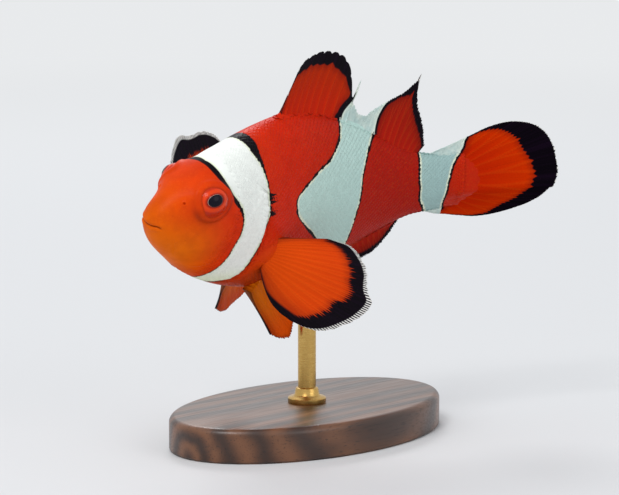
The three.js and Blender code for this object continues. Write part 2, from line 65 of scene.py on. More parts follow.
# Distance from the snout, height of the back, of the belly, half width, height of the widest line,
# as fractions of LENGTH.
STATIONS = [
    [0, -0.003, -0.003, 0, -0.003],
    [0.008, 0.024, -0.034, 0.027, -0.004],
    [0.03, 0.054, -0.067, 0.045, -0.002],
    [0.075, 0.098, -0.103, 0.064, 0.006],
    [0.145, 0.145, -0.146, 0.081, 0.009],
    [0.235, 0.181, -0.183, 0.092, 0.008],
    [0.34, 0.209, -0.208, 0.098, 0.006],
    [0.45, 0.221, -0.215, 0.096, 0.006],
    [0.56, 0.207, -0.203, 0.085, 0.006],
    [0.67, 0.173, -0.168, 0.067, 0.004],
    [0.78, 0.126, -0.12, 0.047, 0.002],
    [0.87, 0.087, -0.084, 0.032, 0],
    [0.94, 0.075, -0.076, 0.023, 0],
    [1, 0.078, -0.08, 0.016, 0],
]


# ---- Curves ----
def curve(rows):
    """A smooth curve through rows of [position, value ...]: a function that gives the values."""
    rows = np.array(rows, float)
    at, values = rows[:, 0], rows[:, 1:]
    order = np.arange(len(at))
    before, after = np.maximum(order - 1, 0), np.minimum(order + 1, len(at) - 1)
    slope = (values[after] - values[before]) / (at[after] - at[before])[:, None]

    def value(position):
        p = np.clip(position, at[0], at[-1])
        i = np.clip(np.searchsorted(at, p, side="right") - 1, 0, len(at) - 2)
        step = (at[i + 1] - at[i])[..., None]
        u = (p - at[i])[..., None] / step
        held = (2 * u**3 - 3 * u**2 + 1) * values[i] + (3 * u**2 - 2 * u**3) * values[i + 1]
        eased = (u**3 - 2 * u**2 + u) * slope[i] + (u**3 - u**2) * slope[i + 1]
        return held + eased * step

    return value


def number(rows):
    """Such a curve of one value."""
    value = curve(rows)
    return lambda position: value(np.asarray(position, float))[..., 0]


def blend(low, high, value):
    u = np.clip((value - low) / (high - low), 0, 1)
    return u * u * (3 - 2 * u)


def bell(value, width):
    return np.exp(-((value / width) ** 2))


def unit(vectors):
    return vectors / np.maximum(np.linalg.norm(vectors, axis=-1, keepdims=True), 1e-9)


def apart(points, place):
    return np.linalg.norm(points - place, axis=-1)


def on_left(points):
    """The points, with those of the right side mirrored to the left."""
    return points * [1, 0, 1] + np.abs(points) * [0, -1, 0]


# ---- The body's form ----
body_along = curve([[i / (len(STATIONS) - 1), *row] for i, row in enumerate(STATIONS)])
body_at = curve(STATIONS)
SHARES = np.linspace(0, 1, 4001)
SHARE_X = body_along(SHARES)[:, 0]


def swelling(x, z):
    """How far the orbits and the roots of the pectorals stand out."""
    total = 0
    for bump in (ORBIT, SHOULDER):
        distance = np.hypot(x - bump["x"], z - bump["z"]) / bump["radius"]
        total = total + bump["rise"] * np.exp(-(distance**3))
    return total


def body_point(x, around):
    """Points of the solids' surface. x is a fraction of LENGTH, around is in radians."""
    x, around = np.broadcast_arrays(np.asarray(x, float), np.asarray(around, float))
    form = np.moveaxis(body_along(np.interp(x, SHARE_X, SHARES)), -1, 0)
    _, top, bottom, half_width, widest = form
    cosine, sine = np.cos(around), np.sin(around)
    head_power = SECTION["belly"] + (SECTION["head"] - SECTION["belly"]) * blend(0.02, 0.12, x)
    back_power = head_power + (SECTION["back"] - head_power) * blend(0.16, 0.38, x)
    power = np.where(cosine >= 0, back_power, SECTION["belly"])
    side = np.sign(sine) * np.abs(sine) ** (2 / power)
    rise = np.sign(cosine) * np.abs(cosine) ** (2 / power)
    z = widest + rise * np.where(cosine >= 0, top - widest, widest - bottom)
    y = -half_width * side - np.sign(side) * np.minimum(2 * np.abs(side), 1) * swelling(x, z)
    return LENGTH * np.stack([x, y, z], -1)


def surface(x, around):
    """Points of that surface, their normals, and the direction towards the tail."""
    nudge = 0.002
    x = np.clip(x, nudge, 1 - nudge)
    rearward = unit(body_point(x + nudge, around) - body_point(x - nudge, around))
    turning = body_point(x, around + nudge) - body_point(x, around - nudge)
    return body_point(x, around), unit(np.cross(turning, rearward)), rearward


# ---- The swimming pose ----
# Distance from the snout, and the turn of the spine to the left, its climb, and the back's lean.
turn_at = number([[0.05, 4], [0.25, -7], [0.45, -3], [0.75, 14], [1, 26], [1.3, 34]])
climb_at = number([[0.1, -1], [0.5, 2], [0.9, 0], [1.3, 3]])
lean_at = number([[0.1, 19.5], [0.5, 12], [0.9, 10], [1.3, 6]])
SPINE = {"first": -0.06, "last": 1.5, "step": 0.005}


def spine_table():
    """Places of the spine, and its directions to the tail, to the right and up."""
    x = np.arange(SPINE["first"], SPINE["last"], SPINE["step"])
    turn, climb, lean = (np.radians(at(x))[:, None] for at in (turn_at, climb_at, lean_at))
    flat = np.zeros_like(turn)
    back = np.hstack([np.cos(climb) * np.cos(turn), -np.cos(climb) * np.sin(turn), np.sin(climb)])
    level = np.hstack([np.sin(turn), np.cos(turn), flat])
    upright = np.cross(back, level)
    right = level * np.cos(lean) + upright * np.sin(lean)
    up = upright * np.cos(lean) - level * np.sin(lean)
    steps = (back[1:] + back[:-1]) * SPINE["step"] * LENGTH / 2
    place = np.vstack([np.zeros(3), np.cumsum(steps, axis=0)])
    return place, back, right, up


spine = spine_table()
origin = np.zeros(3)       # set below, once pose() can tell where the belly comes to lie


def pose(points, root=None):
    """Straight points, bent into the pose. The spine at its root carries a paired fin whole."""
    points = np.asarray(points, float)
    along = (points[..., 0] if root is None else np.full(points.shape[:-1], root)) / LENGTH
    index = np.clip((along - SPINE["first"]) / SPINE["step"], 0, len(spine[0]) - 1.001)
    whole = index.astype(int)
    u = (index - whole)[..., None]
    place, back, right, up = (table[whole] * (1 - u) + table[whole + 1] * u for table in spine)
    bent = place + right * points[..., 1:2] + up * points[..., 2:3] - origin
    if root is not None:
        bent = bent + back * (points[..., 0:1] - root)
    return bent * MM


fold_at = number([[0.9, 0], [0.94, 6], [0.985, 20], [1.05, 31], [1.15, 43], [1.28, 53]])


def folded(points):
    """The lower part of the tail folds away to the right, by an angle that grows along it."""
    below = FOLD["line"] * LENGTH - points[..., 2]
    angle = np.radians(fold_at(points[..., 0] / LENGTH)) * np.clip(below / FOLD["crease"], 0, 1)
    below = np.maximum(below, 0)
    shift = np.stack([0 * below, below * np.sin(angle), below * (1 - np.cos(angle))], -1)
    return points + shift


belly = body_at(np.array(ROD_PLACE))[1] * LENGTH
origin = pose(np.array([ROD_PLACE * LENGTH, 0, belly])) / MM - [0, 0, BELLY_HEIGHT]


# ---- Meshes ----
def link(name, data):
    """A new object in the scene with the given data."""
    thing = bpy.data.objects.new(name, data)
    bpy.context.scene.collection.objects.link(thing)
    return thing


def add_piece(name, points, faces, material, nodes=(), values=None, corners=None):
    """A piece from points in metres and arrays of faces, with its values at the points, its bake
    map at the faces' corners, and the nodes it stands for."""
    mesh = bpy.data.meshes.new(name)
    mesh.from_pydata(points.reshape(-1, 3).tolist(), [], [f for a in faces for f in a.tolist()])
    mesh.shade_smooth()
    for key, value in (values or {}).items():
        value = np.asarray(value, np.float32).reshape(len(mesh.vertices), -1)
        kind, field = ("FLOAT_VECTOR", "vector") if value.shape[1] == 3 else ("FLOAT", "value")
        mesh.attributes.new(key, kind, "POINT").data.foreach_set(field, value.ravel())
    if corners is not None:
        flat = np.concatenate([c.reshape(-1, 2) for c in corners])
        mesh.uv_layers.new(name="OFBake").data.foreach_set("uv", flat.astype(np.float32).ravel())
    mesh.materials.append(material)
    piece = link(name, mesh)
    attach(piece, "root")
    if nodes:
        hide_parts(*nodes)
    return piece


def grid_faces(rows, columns, wrap=False):
    """Four-cornered faces between rows of points, as an array, each with its corners' steps."""
    last = columns if wrap else columns - 1
    i, j = np.meshgrid(np.arange(rows - 1), np.arange(last), indexing="ij")
    corners = [np.stack([i + a, j + b], -1) for a, b in ((0, 0), (0, 1), (1, 1), (1, 0))]
    steps = np.stack(corners, -2).reshape(-1, 4, 2)
    return steps[..., 0] * columns + steps[..., 1] % columns, steps


def tube_faces(rows, columns, clockwise=False):
    """Faces between rings of points, with fans from the first and the last ring to two poles whose
    points follow the rings', and the steps of the first faces' corners."""
    quads, steps = grid_faces(rows, columns, wrap=True)
    near = np.arange(columns)
    far = (near + 1) % columns
    if clockwise:
        quads, steps = quads[:, ::-1], steps[:, ::-1]
    else:
        near, far = far, near
    pole, last = rows * columns + 0 * near, (rows - 1) * columns
    fans = [pole, near, far], [pole + 1, last + far, last + near]
    return [quads, *(np.stack(fan, -1) for fan in fans)], steps


# ---- Lines drawn on the body ----
LINE_STEPS = {"body": 60, "fin": 40}   # steps along a line for each of its rows
SLIDE = 0.2                            # how far a step's line is taken to run on past its point
CHUNK = 20000                          # how many points are measured at once


def drawn(rows, steps):
    """Values along a smooth line through the rows."""
    run = np.linspace(0, len(rows) - 1, steps * len(rows))
    return curve([[i, *row] for i, row in enumerate(rows)])(run)


class Line:
    """A line on the body's left side, mirrored on its right, from the back down to the belly. rows
    are [fraction of LENGTH, angle]; above are [x, z] of its run over a fin, from the tip down."""

    def __init__(self, rows, above=()):
        values = drawn(rows, LINE_STEPS["body"])
        points, normals, _ = surface(values[:, 0], np.radians(values[:, 1]))
        points[:, 0] = values[:, 0] * LENGTH
        parts = [[points, normals]]
        if above:
            x, z = (drawn(above, LINE_STEPS["fin"]) * LENGTH).T
            parts.insert(0, [np.stack([x, 0 * x, z], -1), np.tile([0.0, -1, 0], (len(x), 1))])
        along = [unit(np.gradient(points, axis=0)) for points, _ in parts]
        behind = [unit(np.cross(normals, a)) for (_, normals), a in zip(parts, along)]
        self.points = points = np.vstack([points for points, _ in parts])
        self.along, self.behind = np.vstack(along), np.vstack(behind)
        self.share = np.linspace(0, 1, len(points))

    def distance(self, points):
        """Signed distances, positive behind the line, and how far down the line each is nearest."""
        flat = on_left(points.reshape(-1, 3))
        signed, share = np.empty(len(flat)), np.empty(len(flat))
        own = (self.points**2).sum(1)
        for start in range(0, len(flat), CHUNK):
            part = flat[start:start + CHUNK]
            nearest = np.argmin(own - 2 * part @ self.points.T, axis=1)
            away = part - self.points[nearest]
            along = self.along[nearest]
            slide = np.clip((away * along).sum(1), -SLIDE, SLIDE)
            away = away - along * slide[:, None]
            side = np.sign((away * self.behind[nearest]).sum(1))
            signed[start:start + CHUNK] = side * np.linalg.norm(away, axis=1)
            share[start:start + CHUNK] = self.share[nearest]
        return signed.reshape(points.shape[:-1]), share.reshape(points.shape[:-1])


def edge(rows, above=()):
    """A bar's edge, from rows of [angle, fraction of LENGTH]."""
    return Line([[x, angle] for angle, x in rows], above)


# Each bar has a front and a rear edge, each with the width of its black margin by angle.
BARS = [
    {
        "front": edge([[0, 0.134], [20, 0.139], [38, 0.1457], [50, 0.1545], [62, 0.169],
                       [72, 0.191], [80, 0.206], [90, 0.218], [100, 0.22], [110, 0.213],
                       [122, 0.208], [135, 0.199], [150, 0.184], [165, 0.172], [180, 0.168]]),
        "front_margin": number([[0, 0.7], [25, 1.0], [45, 0.85], [57, 0.3], [64, 0.25], [72, 0.75],
                                [80, 0.5], [92, 0.25], [180, 0.2]]),
        "rear": edge([[0, 0.238], [20, 0.243], [32, 0.249], [42, 0.261], [51, 0.271], [58, 0.279],
                      [65, 0.288], [72, 0.296], [84, 0.3065], [91, 0.307], [101, 0.2995],
                      [110, 0.293], [121, 0.287], [130, 0.282], [140, 0.275], [150, 0.26],
                      [165, 0.232], [180, 0.215]]),
        "rear_margin": number([[0, 2.2], [22, 2.0], [40, 0.9], [55, 0.4], [75, 0.22], [180, 0.25]]),
    },
    {
        "front": edge([[0, 0.632], [16, 0.6244], [29, 0.614], [39, 0.604], [47, 0.587], [54, 0.569],
                       [60, 0.543], [65, 0.503], [70, 0.469], [75, 0.436], [80, 0.413], [86, 0.413],
                       [93, 0.424], [102, 0.463], [111, 0.507], [125, 0.552], [145, 0.592],
                       [165, 0.612], [180, 0.617]],
                      [[0.68, 0.31], [0.684, 0.276], [0.682, 0.25], [0.675, 0.23], [0.657, 0.214],
                       [0.643, 0.199], [0.635, 0.18]]),
        "front_margin": number([[-30, 1.3], [-25, 1.3], [0, 0.6], [60, 0.45], [100, 0.4],
                                [180, 0.4]]),
        "rear": edge([[0, 0.744], [15, 0.737], [26, 0.7283], [40, 0.713], [50, 0.7027], [59, 0.694],
                      [67, 0.687], [74, 0.6823], [82, 0.681], [97, 0.678], [104, 0.673],
                      [119, 0.667], [150, 0.658], [180, 0.652]],
                     [[0.86, 0.275], [0.811, 0.233], [0.784, 0.214], [0.769, 0.197], [0.758, 0.178],
                      [0.751, 0.155], [0.746, 0.13]]),
        "rear_margin": number([[0, 0.55], [40, 0.5], [70, 0.35], [180, 0.3]]),
    },
    {
        "front": edge([[0, 0.886], [33, 0.8855], [60, 0.8835], [71, 0.883], [82, 0.8847],
                       [94, 0.888], [106, 0.888], [119, 0.891], [137, 0.903], [160, 0.912],
                       [180, 0.915]]),
        "front_margin": number([[0, 0.45], [180, 0.4]]),
        "rear": edge([[0, 1.0045], [20, 1.0], [36, 0.9904], [50, 0.9819], [63, 0.976], [75, 0.973],
                      [87, 0.9688], [100, 0.9668], [112, 0.9646], [126, 0.9623], [145, 0.9636],
                      [180, 0.97]],
                     [[1.03, 0.13], [1.021, 0.112], [1.016, 0.105], [1.012, 0.089],
                      [1.0055, 0.079]]),
        "rear_margin": number([[0, 0.45], [180, 0.4]]),
    },
]
# The dark tufts behind the head's bar: angle, length and spread, and the angle between hairs.
TUFTS = [[75, 2.1, 5.5], [85, 2, 4.5]]
HAIR_STEP = 2.5
OUTSIDE = -9.0             # a mark of places that the marking doesn't reach


def bar_marks(points, angle, bars=(0, 1, 2)):
    """How far inside the white bars the points are, and how far inside their black margins. Places
    on a fin over the back have an angle below 0."""
    white = black = np.full(points.shape[:-1], -np.inf)
    for bar in [BARS[i] for i in bars]:
        front, _ = bar["front"].distance(points)
        rear, _ = bar["rear"].distance(points)
        white = np.maximum(white, np.minimum(front, -rear))
        black = np.maximum(black, bar["front_margin"](angle) - np.abs(front))
        black = np.maximum(black, bar["rear_margin"](angle) - np.abs(rear))
    rear, _ = BARS[0]["rear"].distance(points)
    for place, reach, spread in TUFTS:
        away = np.abs(angle - place)
        hairs = 0.55 + 0.45 * np.cos(2 * math.pi * away / HAIR_STEP)
        black = np.maximum(black, reach * blend(spread, 0.5 * spread, away) * hairs - np.abs(rear))
    return white, black


# ---- Relief of the head ----
MOUTH = Line([[0.0018, 179], [0.0022, 150], [0.0032, 122], [0.0055, 104], [0.0095, 98],
              [0.015, 99], [0.0205, 104]])
PREOPERCLE = Line([[0.168, 52], [0.19, 72], [0.196, 96], [0.184, 122], [0.15, 142], [0.115, 152]])
GILL = Line([[0.25, 64], [0.284, 72], [0.297, 86], [0.3, 104], [0.293, 124], [0.272, 142],
             [0.235, 156], [0.19, 166], [0.13, 172]])
CHEEK = Line([[0.062, 88], [0.085, 98], [0.115, 106]])
CHIN = Line([[0.046, 113], [0.06, 128], [0.075, 148]])
NOSTRILS = [[0.056, 47]]
PORES = [[0.035, 66], [0.075, 112], [0.1, 118], [0.13, 120], [0.058, 120], [0.15, 40], [0.09, 30]]

# Folds beside a line or round a spot: height, distance from it, and width.
LIPS = [[0.1, 0.55, 0.4], [-0.3, 0, 0.13]]
EYELID = [[0.17, 0.5, 0.24], [-0.16, 0.08, 0.17]]
NOSTRIL_RIM = [[0.1, 0.34, 0.16], [-0.35, 0, 0.18]]
PORE_RIM = [[0.03, 0.2, 0.1], [-0.08, 0, 0.13]]
GROOVES = [[PREOPERCLE, 0.1, 0.7], [CHEEK, 0.06, 0.5], [CHIN, 0.04, 0.5]]   # depth and width
COVER = {"step": 0.2, "run": 1.6}      # the gill cover's step, and how far it fades out
# strength of the painted shade in the mouth slit, round the eye, in the nostrils, in the pores and
# in the gill opening
SHADE = {"mouth": 0.65, "eye": 0.7, "nostril": 0.35, "pore": 0.1, "gill": 0.5}

# Where scales start behind the head, by angle, and how far they take to close up.
scales_start = number([[0, 0.15], [40, 0.165], [60, 0.18], [90, 0.175], [120, 0.15], [150, 0.15],
                       [180, 0.17]])
SCALES_FADE = 0.05


def eye_frame():
    """The eye's centre on the left, and its axis out of the head, its forward and its upward."""
    around = np.linspace(0, math.pi / 2, 721)
    points = body_point(ORBIT["x"], around)
    nearest = np.argmin(np.abs(points[:, 2] - ORBIT["z"] * LENGTH))
    point, out, rearward = surface(ORBIT["x"], around[nearest])
    forward = unit(-rearward + out * (rearward @ out))
    return point + out * (EYE["proud"] - EYE["radius"]), out, forward, np.cross(out, forward)


EYE_CENTER, EYE_OUT, EYE_FORWARD, EYE_UP = eye_frame()


def scaled(x, angle):
    """How fully scales cover a place, from 0 to 1."""
    return blend(0, SCALES_FADE, x - scales_start(angle))


def fin_base(x, angle):
    """How near a place is to the base of a fin on the middle plane, from 0 to 1."""
    back = blend(0.385, 0.41, x) * (1 - blend(0.865, 0.885, x)) * bell(angle, 6)
    return back + blend(0.625, 0.65, x) * (1 - blend(0.82, 0.845, x)) * bell(180 - angle, 6)


def folds(distance, rows):
    return sum(height * bell(distance - place, width) for height, place, width in rows)


def relief(x, angle, points):
    """How far the skin stands out from the solids, and the painted shade in its hollows and round
    the eye.
    """
    left = on_left(points)
    base = fin_base(x, angle)
    out = FIN_SHEATH * base - COAT * scaled(x, angle) * (1 - base)
    # painted shade: darkening in the mouth slit, the groove round the eye, the nostrils, the pores
    # and the gill opening
    painted_shade = np.zeros_like(out)

    mouth, along = MOUTH.distance(points)
    end = 1 - blend(0.75, 1, along)
    out += end * folds(np.abs(mouth), LIPS)
    painted_shade = np.maximum(painted_shade, SHADE["mouth"] * end * bell(mouth, 0.13))

    ball = apart(left, EYE_CENTER) - EYE["radius"]
    out += folds(ball, EYELID)
    out -= EYE["hollow"] * (1 - blend(-0.3, -0.02, ball))
    painted_shade = np.maximum(painted_shade, SHADE["eye"] * bell(ball - 0.04, 0.16))
    # painted shade round the eye, strongest above it
    brow = blend(-0.5, 1.5, (left - EYE_CENTER) @ EYE_UP)
    painted_shade = np.maximum(painted_shade, (0.12 + 0.33 * brow) * bell(ball - 0.65, 0.45))

    for spots, rim, shade, width in ((NOSTRILS, NOSTRIL_RIM, SHADE["nostril"], 0.15),
                                     (PORES, PORE_RIM, SHADE["pore"], 0.13)):
        for place, around in spots:
            away = apart(left, surface(place, math.radians(around))[0])
            out += folds(away, rim)
            painted_shade = np.maximum(painted_shade, shade * bell(away, width))

    for line, depth, width in GROOVES:
        behind, along = line.distance(points)
        fade = blend(0, 0.2, along) * (1 - blend(0.8, 1, along))
        out += fade * folds(behind, [[0.6 * depth, -width, width], [-depth, 0, 0.5 * width]])

    behind, along = GILL.distance(points)
    fade = blend(0, 0.12, along)
    step = COVER["step"] * np.exp(-np.abs(behind) / COVER["run"])
    cover = np.where(behind < 0, step, -1.1 * step * (1 - blend(0.2, 1.8, behind)))
    out += fade * cover * blend(0, 0.12, np.abs(behind))
    painted_shade = np.maximum(painted_shade, SHADE["gill"] * fade * bell(behind - 0.1, 0.14))
    return out, painted_shade


# ---- Materials ----
def rgb(red, green, blue):
    """A colour from screen values of 0 to 255."""
    def linear(value):
        value /= 255
        return value / 12.92 if value <= 0.04045 else ((value + 0.055) / 1.055) ** 2.4
    return (linear(red), linear(green), linear(blue), 1)


class Nodes:
    """A node tree, and short ways to add nodes to it."""

    def __init__(self, tree):
        self.tree = tree

    def add(self, kind, inputs=(), output=0, **settings):
        node = self.tree.nodes.new("ShaderNode" + kind)
        for key, value in settings.items():
            setattr(node, key, value)
        for key, value in dict(inputs).items():
            if isinstance(value, bpy.types.NodeSocket):
                self.tree.links.new(value, node.inputs[key])
            else:
                node.inputs[key].default_value = value
        return node.outputs[output]

    def attribute(self, name, output="Vector"):
        return self.add("Attribute", output=output, attribute_name=name)

    def parts(self, vector):
        return list(self.add("SeparateXYZ", {0: vector}).node.outputs)

    def math(self, operation, *values):
        return self.add("Math", dict(enumerate(values)), operation=operation)

    def vector(self, operation, *values, output=0):
        return self.add("VectorMath", dict(enumerate(values)), output, operation=operation)

    def range(self, value, low, high, to_low=0.0, to_high=1.0):
        inputs = {"Value": value, "From Min": low, "From Max": high,
                  "To Min": to_low, "To Max": to_high}
        return self.add("MapRange", inputs, interpolation_type="SMOOTHSTEP")

    def mix(self, factor, first, second, mode="MIX"):
        inputs = {0: factor, 6: first, 7: second}
        return self.add("Mix", inputs, 2, data_type="RGBA", blend_type=mode, clamp_factor=True)

    def layers(self, color, rows):
        """The colour under further ones, from rows of (colour, where it lies, how strong)."""
        for top, where, strength in rows:
            color = self.mix(self.math("MULTIPLY", where, strength), color, top)
        return color

    def ramp(self, value, stops):
        node = self.add("ValToRGB", {0: value}).node
        elements = node.color_ramp.elements
        while len(elements) < len(stops):
            elements.new(0.5)
        for element, (position, color) in zip(elements, stops):
            element.position = position
            element.color = color
        return node.outputs[0]

    def noise(self, vector, scale, detail=3.0, roughness=0.55):
        inputs = {"Vector": vector, "Scale": scale, "Detail": detail, "Roughness": roughness}
        return self.add("TexNoise", inputs)


class Paint(Nodes):
    """A material with a Principled shader."""

    def __init__(self, name, **constants):
        self.material = bpy.data.materials.new(name)
        self.material.use_nodes = True
        super().__init__(self.material.node_tree)
        self.shader = self.tree.nodes["Principled BSDF"]
        for key, value in constants.items():
            self.shader.inputs[key.replace("_", " ")].default_value = value

    def finish(self, color, roughness, height=None, distance=0.0, strength=1.0):
        self.tree.links.new(color, self.shader.inputs["Base Color"])
        self.tree.links.new(roughness, self.shader.inputs["Roughness"])
        if height is not None:
            bump = self.add("Bump", {"Height": height, "Distance": distance, "Strength": strength})
            self.tree.links.new(bump, self.shader.inputs["Normal"])
        return self.material


BLACK = rgb(12, 8, 14)
# The body's orange by share of LENGTH. It turns darker red towards the tail: partly the fish's own
# colour and partly painted shade.
FLESH = [
    [0.0, rgb(214, 84, 1)], [0.07, rgb(224, 66, 2)], [0.16, rgb(220, 50, 6)],
    [0.36, rgb(208, 36, 6)], [0.52, rgb(196, 34, 8)], [0.7, rgb(172, 24, 10)],
    [0.88, rgb(166, 22, 10)], [1.0, rgb(190, 34, 4)],
]
# The bars' white by share of LENGTH. It turns greyer and greener towards the tail: partly the bars'
# own tint and partly painted shade.
WHITES = [
    [0.0, rgb(243, 247, 241)], [0.34, rgb(243, 247, 241)], [0.42, rgb(192, 220, 211)],
    [0.75, rgb(182, 212, 205)], [0.86, rgb(158, 188, 184)], [1.0, rgb(156, 186, 184)],
]
SHOULDER_GLOW = (25.5, 7, -9)          # the middle of the brighter orange round a pectoral's root
SKIN_GLOSS = {"Coat_Weight": 0.02, "Coat_Roughness": 0.3, "Specular_IOR_Level": 0.05}


def flesh_color(paint):
    """The body's orange with its white bars and their black margins, and two noises."""
    place = paint.attribute("place")
    white, black, _ = paint.parts(paint.attribute("marks"))
    x, y, z = paint.parts(place)
    share = paint.math("DIVIDE", x, LENGTH)
    half = paint.add("CombineXYZ", {0: x, 1: paint.math("ABSOLUTE", y), 2: z})
    shoulder = paint.vector("DISTANCE", half, SHOULDER_GLOW, output="Value")
    snout = paint.math("MULTIPLY", paint.range(z, 4, -5), paint.range(x, 15, 5))
    crown = paint.math("MULTIPLY", paint.range(z, 7, 11), paint.range(x, 24, 12))
    under = paint.range(z, -7.5, -14)
    cloud, speck = paint.noise(place, 0.35), paint.noise(place, 3.5, 2.0)
    orange = paint.layers(paint.ramp(share, FLESH), [
        (rgb(230, 106, 0), snout, 1),
        (rgb(216, 68, 6), paint.range(shoulder, 7, 2), 0.85),
        # painted shade: the underside darkened towards brown
        (rgb(146, 70, 22), under, 0.5),
        (rgb(140, 30, 10), crown, 0.35),
        (rgb(150, 30, 14), paint.range(cloud, 0.35, 0.7), 0.2),
        (rgb(244, 130, 30), paint.range(speck, 0.5, 0.8), 0.12),
    ])
    inner = paint.layers(paint.ramp(share, WHITES), [(rgb(226, 234, 186), under, 0.9)])
    rim = paint.mix(paint.range(white, 0.08, 0.5), rgb(228, 234, 208), inner)
    color = paint.layers(orange, [
        (BLACK, paint.range(black, -0.12, 0.1), 1),
        (rim, paint.range(white, -0.04, 0.06), 1),
    ])
    return color, cloud, speck


def skin_material():
    paint = Paint("scaled_skin", **SKIN_GLOSS)
    color, cloud, speck = flesh_color(paint)
    # painted shade laid into the hollows of the skin and round the eye
    color = paint.layers(color, [(rgb(58, 12, 10), paint.attribute("painted_shade", "Fac"), 0.85)])
    grain = paint.noise(paint.attribute("place"), 9.0, 2.0)
    roughness = paint.range(cloud, 0.25, 0.75, 0.36, 0.5)
    return paint.finish(color, roughness, paint.math("ADD", grain, speck), 0.02 * MM, 0.5)


def scale_material():
    paint = Paint("scale_plates", **SKIN_GLOSS)
    color, cloud, speck = flesh_color(paint)
    tone = paint.range(paint.attribute("tone", "Fac"), 0, 1, 0.07, 0)
    color = paint.mix(tone, color, rgb(120, 110, 110), "MULTIPLY")
    return paint.finish(color, paint.range(cloud, 0.25, 0.75, 0.34, 0.46), speck, 0.015 * MM, 0.4)


def fin_material(name, warm, deep, teeth, web_shade, gloss=0.05):
    """A fin: orange between its rays, with a black band, and a pale fringe with the given number
    of teeth to each ray. warm is the colour near the body and deep the one near the band. The fifth
    argument is how strong the painted shade is on the webs between the rays, and the rays' ridges
    carry a faint painted highlight."""
    paint = Paint(name, Specular_IOR_Level=gloss)
    place, ray = paint.attribute("place"), paint.attribute("ray")
    white, black, fringe = paint.parts(paint.attribute("marks"))
    across, out, ridge = paint.parts(ray)
    turn = paint.math("MULTIPLY", across, 2 * math.pi)
    spoke = paint.math("COSINE", turn)
    tips = paint.math("COSINE", paint.math("MULTIPLY", turn, teeth))
    streak = paint.noise(paint.vector("MULTIPLY", ray, (3.0, 0.12, 0.0)), 1.0, 4.0, 0.7)
    fine = paint.noise(paint.vector("MULTIPLY", ray, (14.0, 0.7, 0.0)), 1.0, 3.0, 0.6)
    cloud = paint.noise(place, 0.5)

    orange = paint.layers(warm, [
        (deep, paint.range(out, 0.1, 0.9), 1),
        (deep, paint.range(streak, 0.35, 0.7), 0.25),
        (rgb(140, 28, 8), paint.range(fine, 0.52, 0.75), 0.22),
        # painted shade on the webs between the rays
        (rgb(130, 24, 8), paint.range(spoke, 0.4, -0.9), web_shade),
        # painted highlight along the rays' ridges
        (rgb(255, 140, 40), paint.range(ridge, 0.5, 1), 0.04),
        (rgb(96, 14, 12), paint.range(black, -1.6, 0), 0.4),
    ])
    ink = paint.mix(paint.range(streak, 0.4, 0.8), BLACK, rgb(24, 12, 28))
    pale = paint.layers(rgb(206, 220, 212), [
        (rgb(180, 204, 200), paint.range(cloud, 0.3, 0.7), 1),
        (rgb(228, 236, 220), paint.range(white, 0.9, 0.1), 0.6),
        # painted shade between the rays on the pale parts
        (rgb(150, 178, 176), paint.range(spoke, 0, -1), 0.15),
    ])
    comb = paint.mix(paint.range(tips, -0.05, 0.4), rgb(30, 24, 38), rgb(240, 238, 232))
    color = paint.layers(orange, [
        (ink, paint.range(black, -0.18, 0.18), 1),
        (pale, paint.range(white, -0.04, 0.08), 1),
        (comb, paint.range(fringe, -0.1, 0.12), 1),
    ])
    joints = paint.math("SINE", paint.math("MULTIPLY", out, 190.0))
    height = paint.math("ADD", paint.math("MULTIPLY", joints, ridge), streak)
    return paint.finish(color, paint.range(streak, 0.2, 0.8, 0.5, 0.66), height, 0.03 * MM, 0.5)


# The pupil's radius, the ring's outer radius, and how the oval is squeezed lengthwise and upright.
PUPIL = {"radius": 1.13, "ring": 1.17, "narrow": 0.89, "flat": 1.2}


def eye_material():
    """Pupil, ring and iris, by distance from the middle of the eye in millimetres."""
    paint = Paint("eye_paint", Coat_Weight=0.1, Coat_Roughness=0.03, Specular_IOR_Level=0.1)
    forward, upward, _ = paint.parts(paint.attribute("gaze"))
    oval = paint.add("CombineXYZ", {0: paint.math("MULTIPLY", forward, PUPIL["narrow"]),
                                    1: paint.math("MULTIPLY", upward, PUPIL["flat"])})
    middle = paint.vector("LENGTH", oval, output="Value")
    angle = paint.math("ARCTAN2", upward, forward)
    spokes = paint.add("CombineXYZ", {0: paint.math("MULTIPLY", angle, 6.0), 1: middle})
    streak = paint.noise(spokes, 2.0, 4.0, 0.7)
    iris = paint.ramp(paint.math("DIVIDE", middle, 4.0), [
        [0.3, rgb(110, 24, 10)], [0.36, rgb(176, 38, 10)], [0.42, rgb(226, 64, 12)],
        [0.56, rgb(224, 60, 12)], [0.64, rgb(190, 44, 12)],
    ])
    iris = paint.layers(iris, [(rgb(150, 30, 10), paint.range(streak, 0.4, 0.75), 0.3)])
    # painted highlight: the ring round the pupil is pale on one side and darker round the rest
    side = paint.range(paint.math("SINE", paint.math("ADD", angle, -0.5)), 0.4, -0.6, 0.05, 0.8)
    ring = paint.mix(side, rgb(120, 60, 48), rgb(206, 176, 158))
    color = paint.layers(rgb(8, 6, 22), [
        (ring, paint.range(middle, PUPIL["radius"], PUPIL["radius"] + 0.03), 1),
        (iris, paint.range(middle, PUPIL["ring"], PUPIL["ring"] + 0.05), 1),
    ])
    return paint.finish(color, paint.range(streak, 0.2, 0.8, 0.2, 0.35), streak, 0.03 * MM, 0.3)


def grain_place(paint, *scale):
    """Places on a piece, stretched by the scale along each axis."""
    return paint.vector("MULTIPLY", paint.add("NewGeometry", output="Position"), scale)


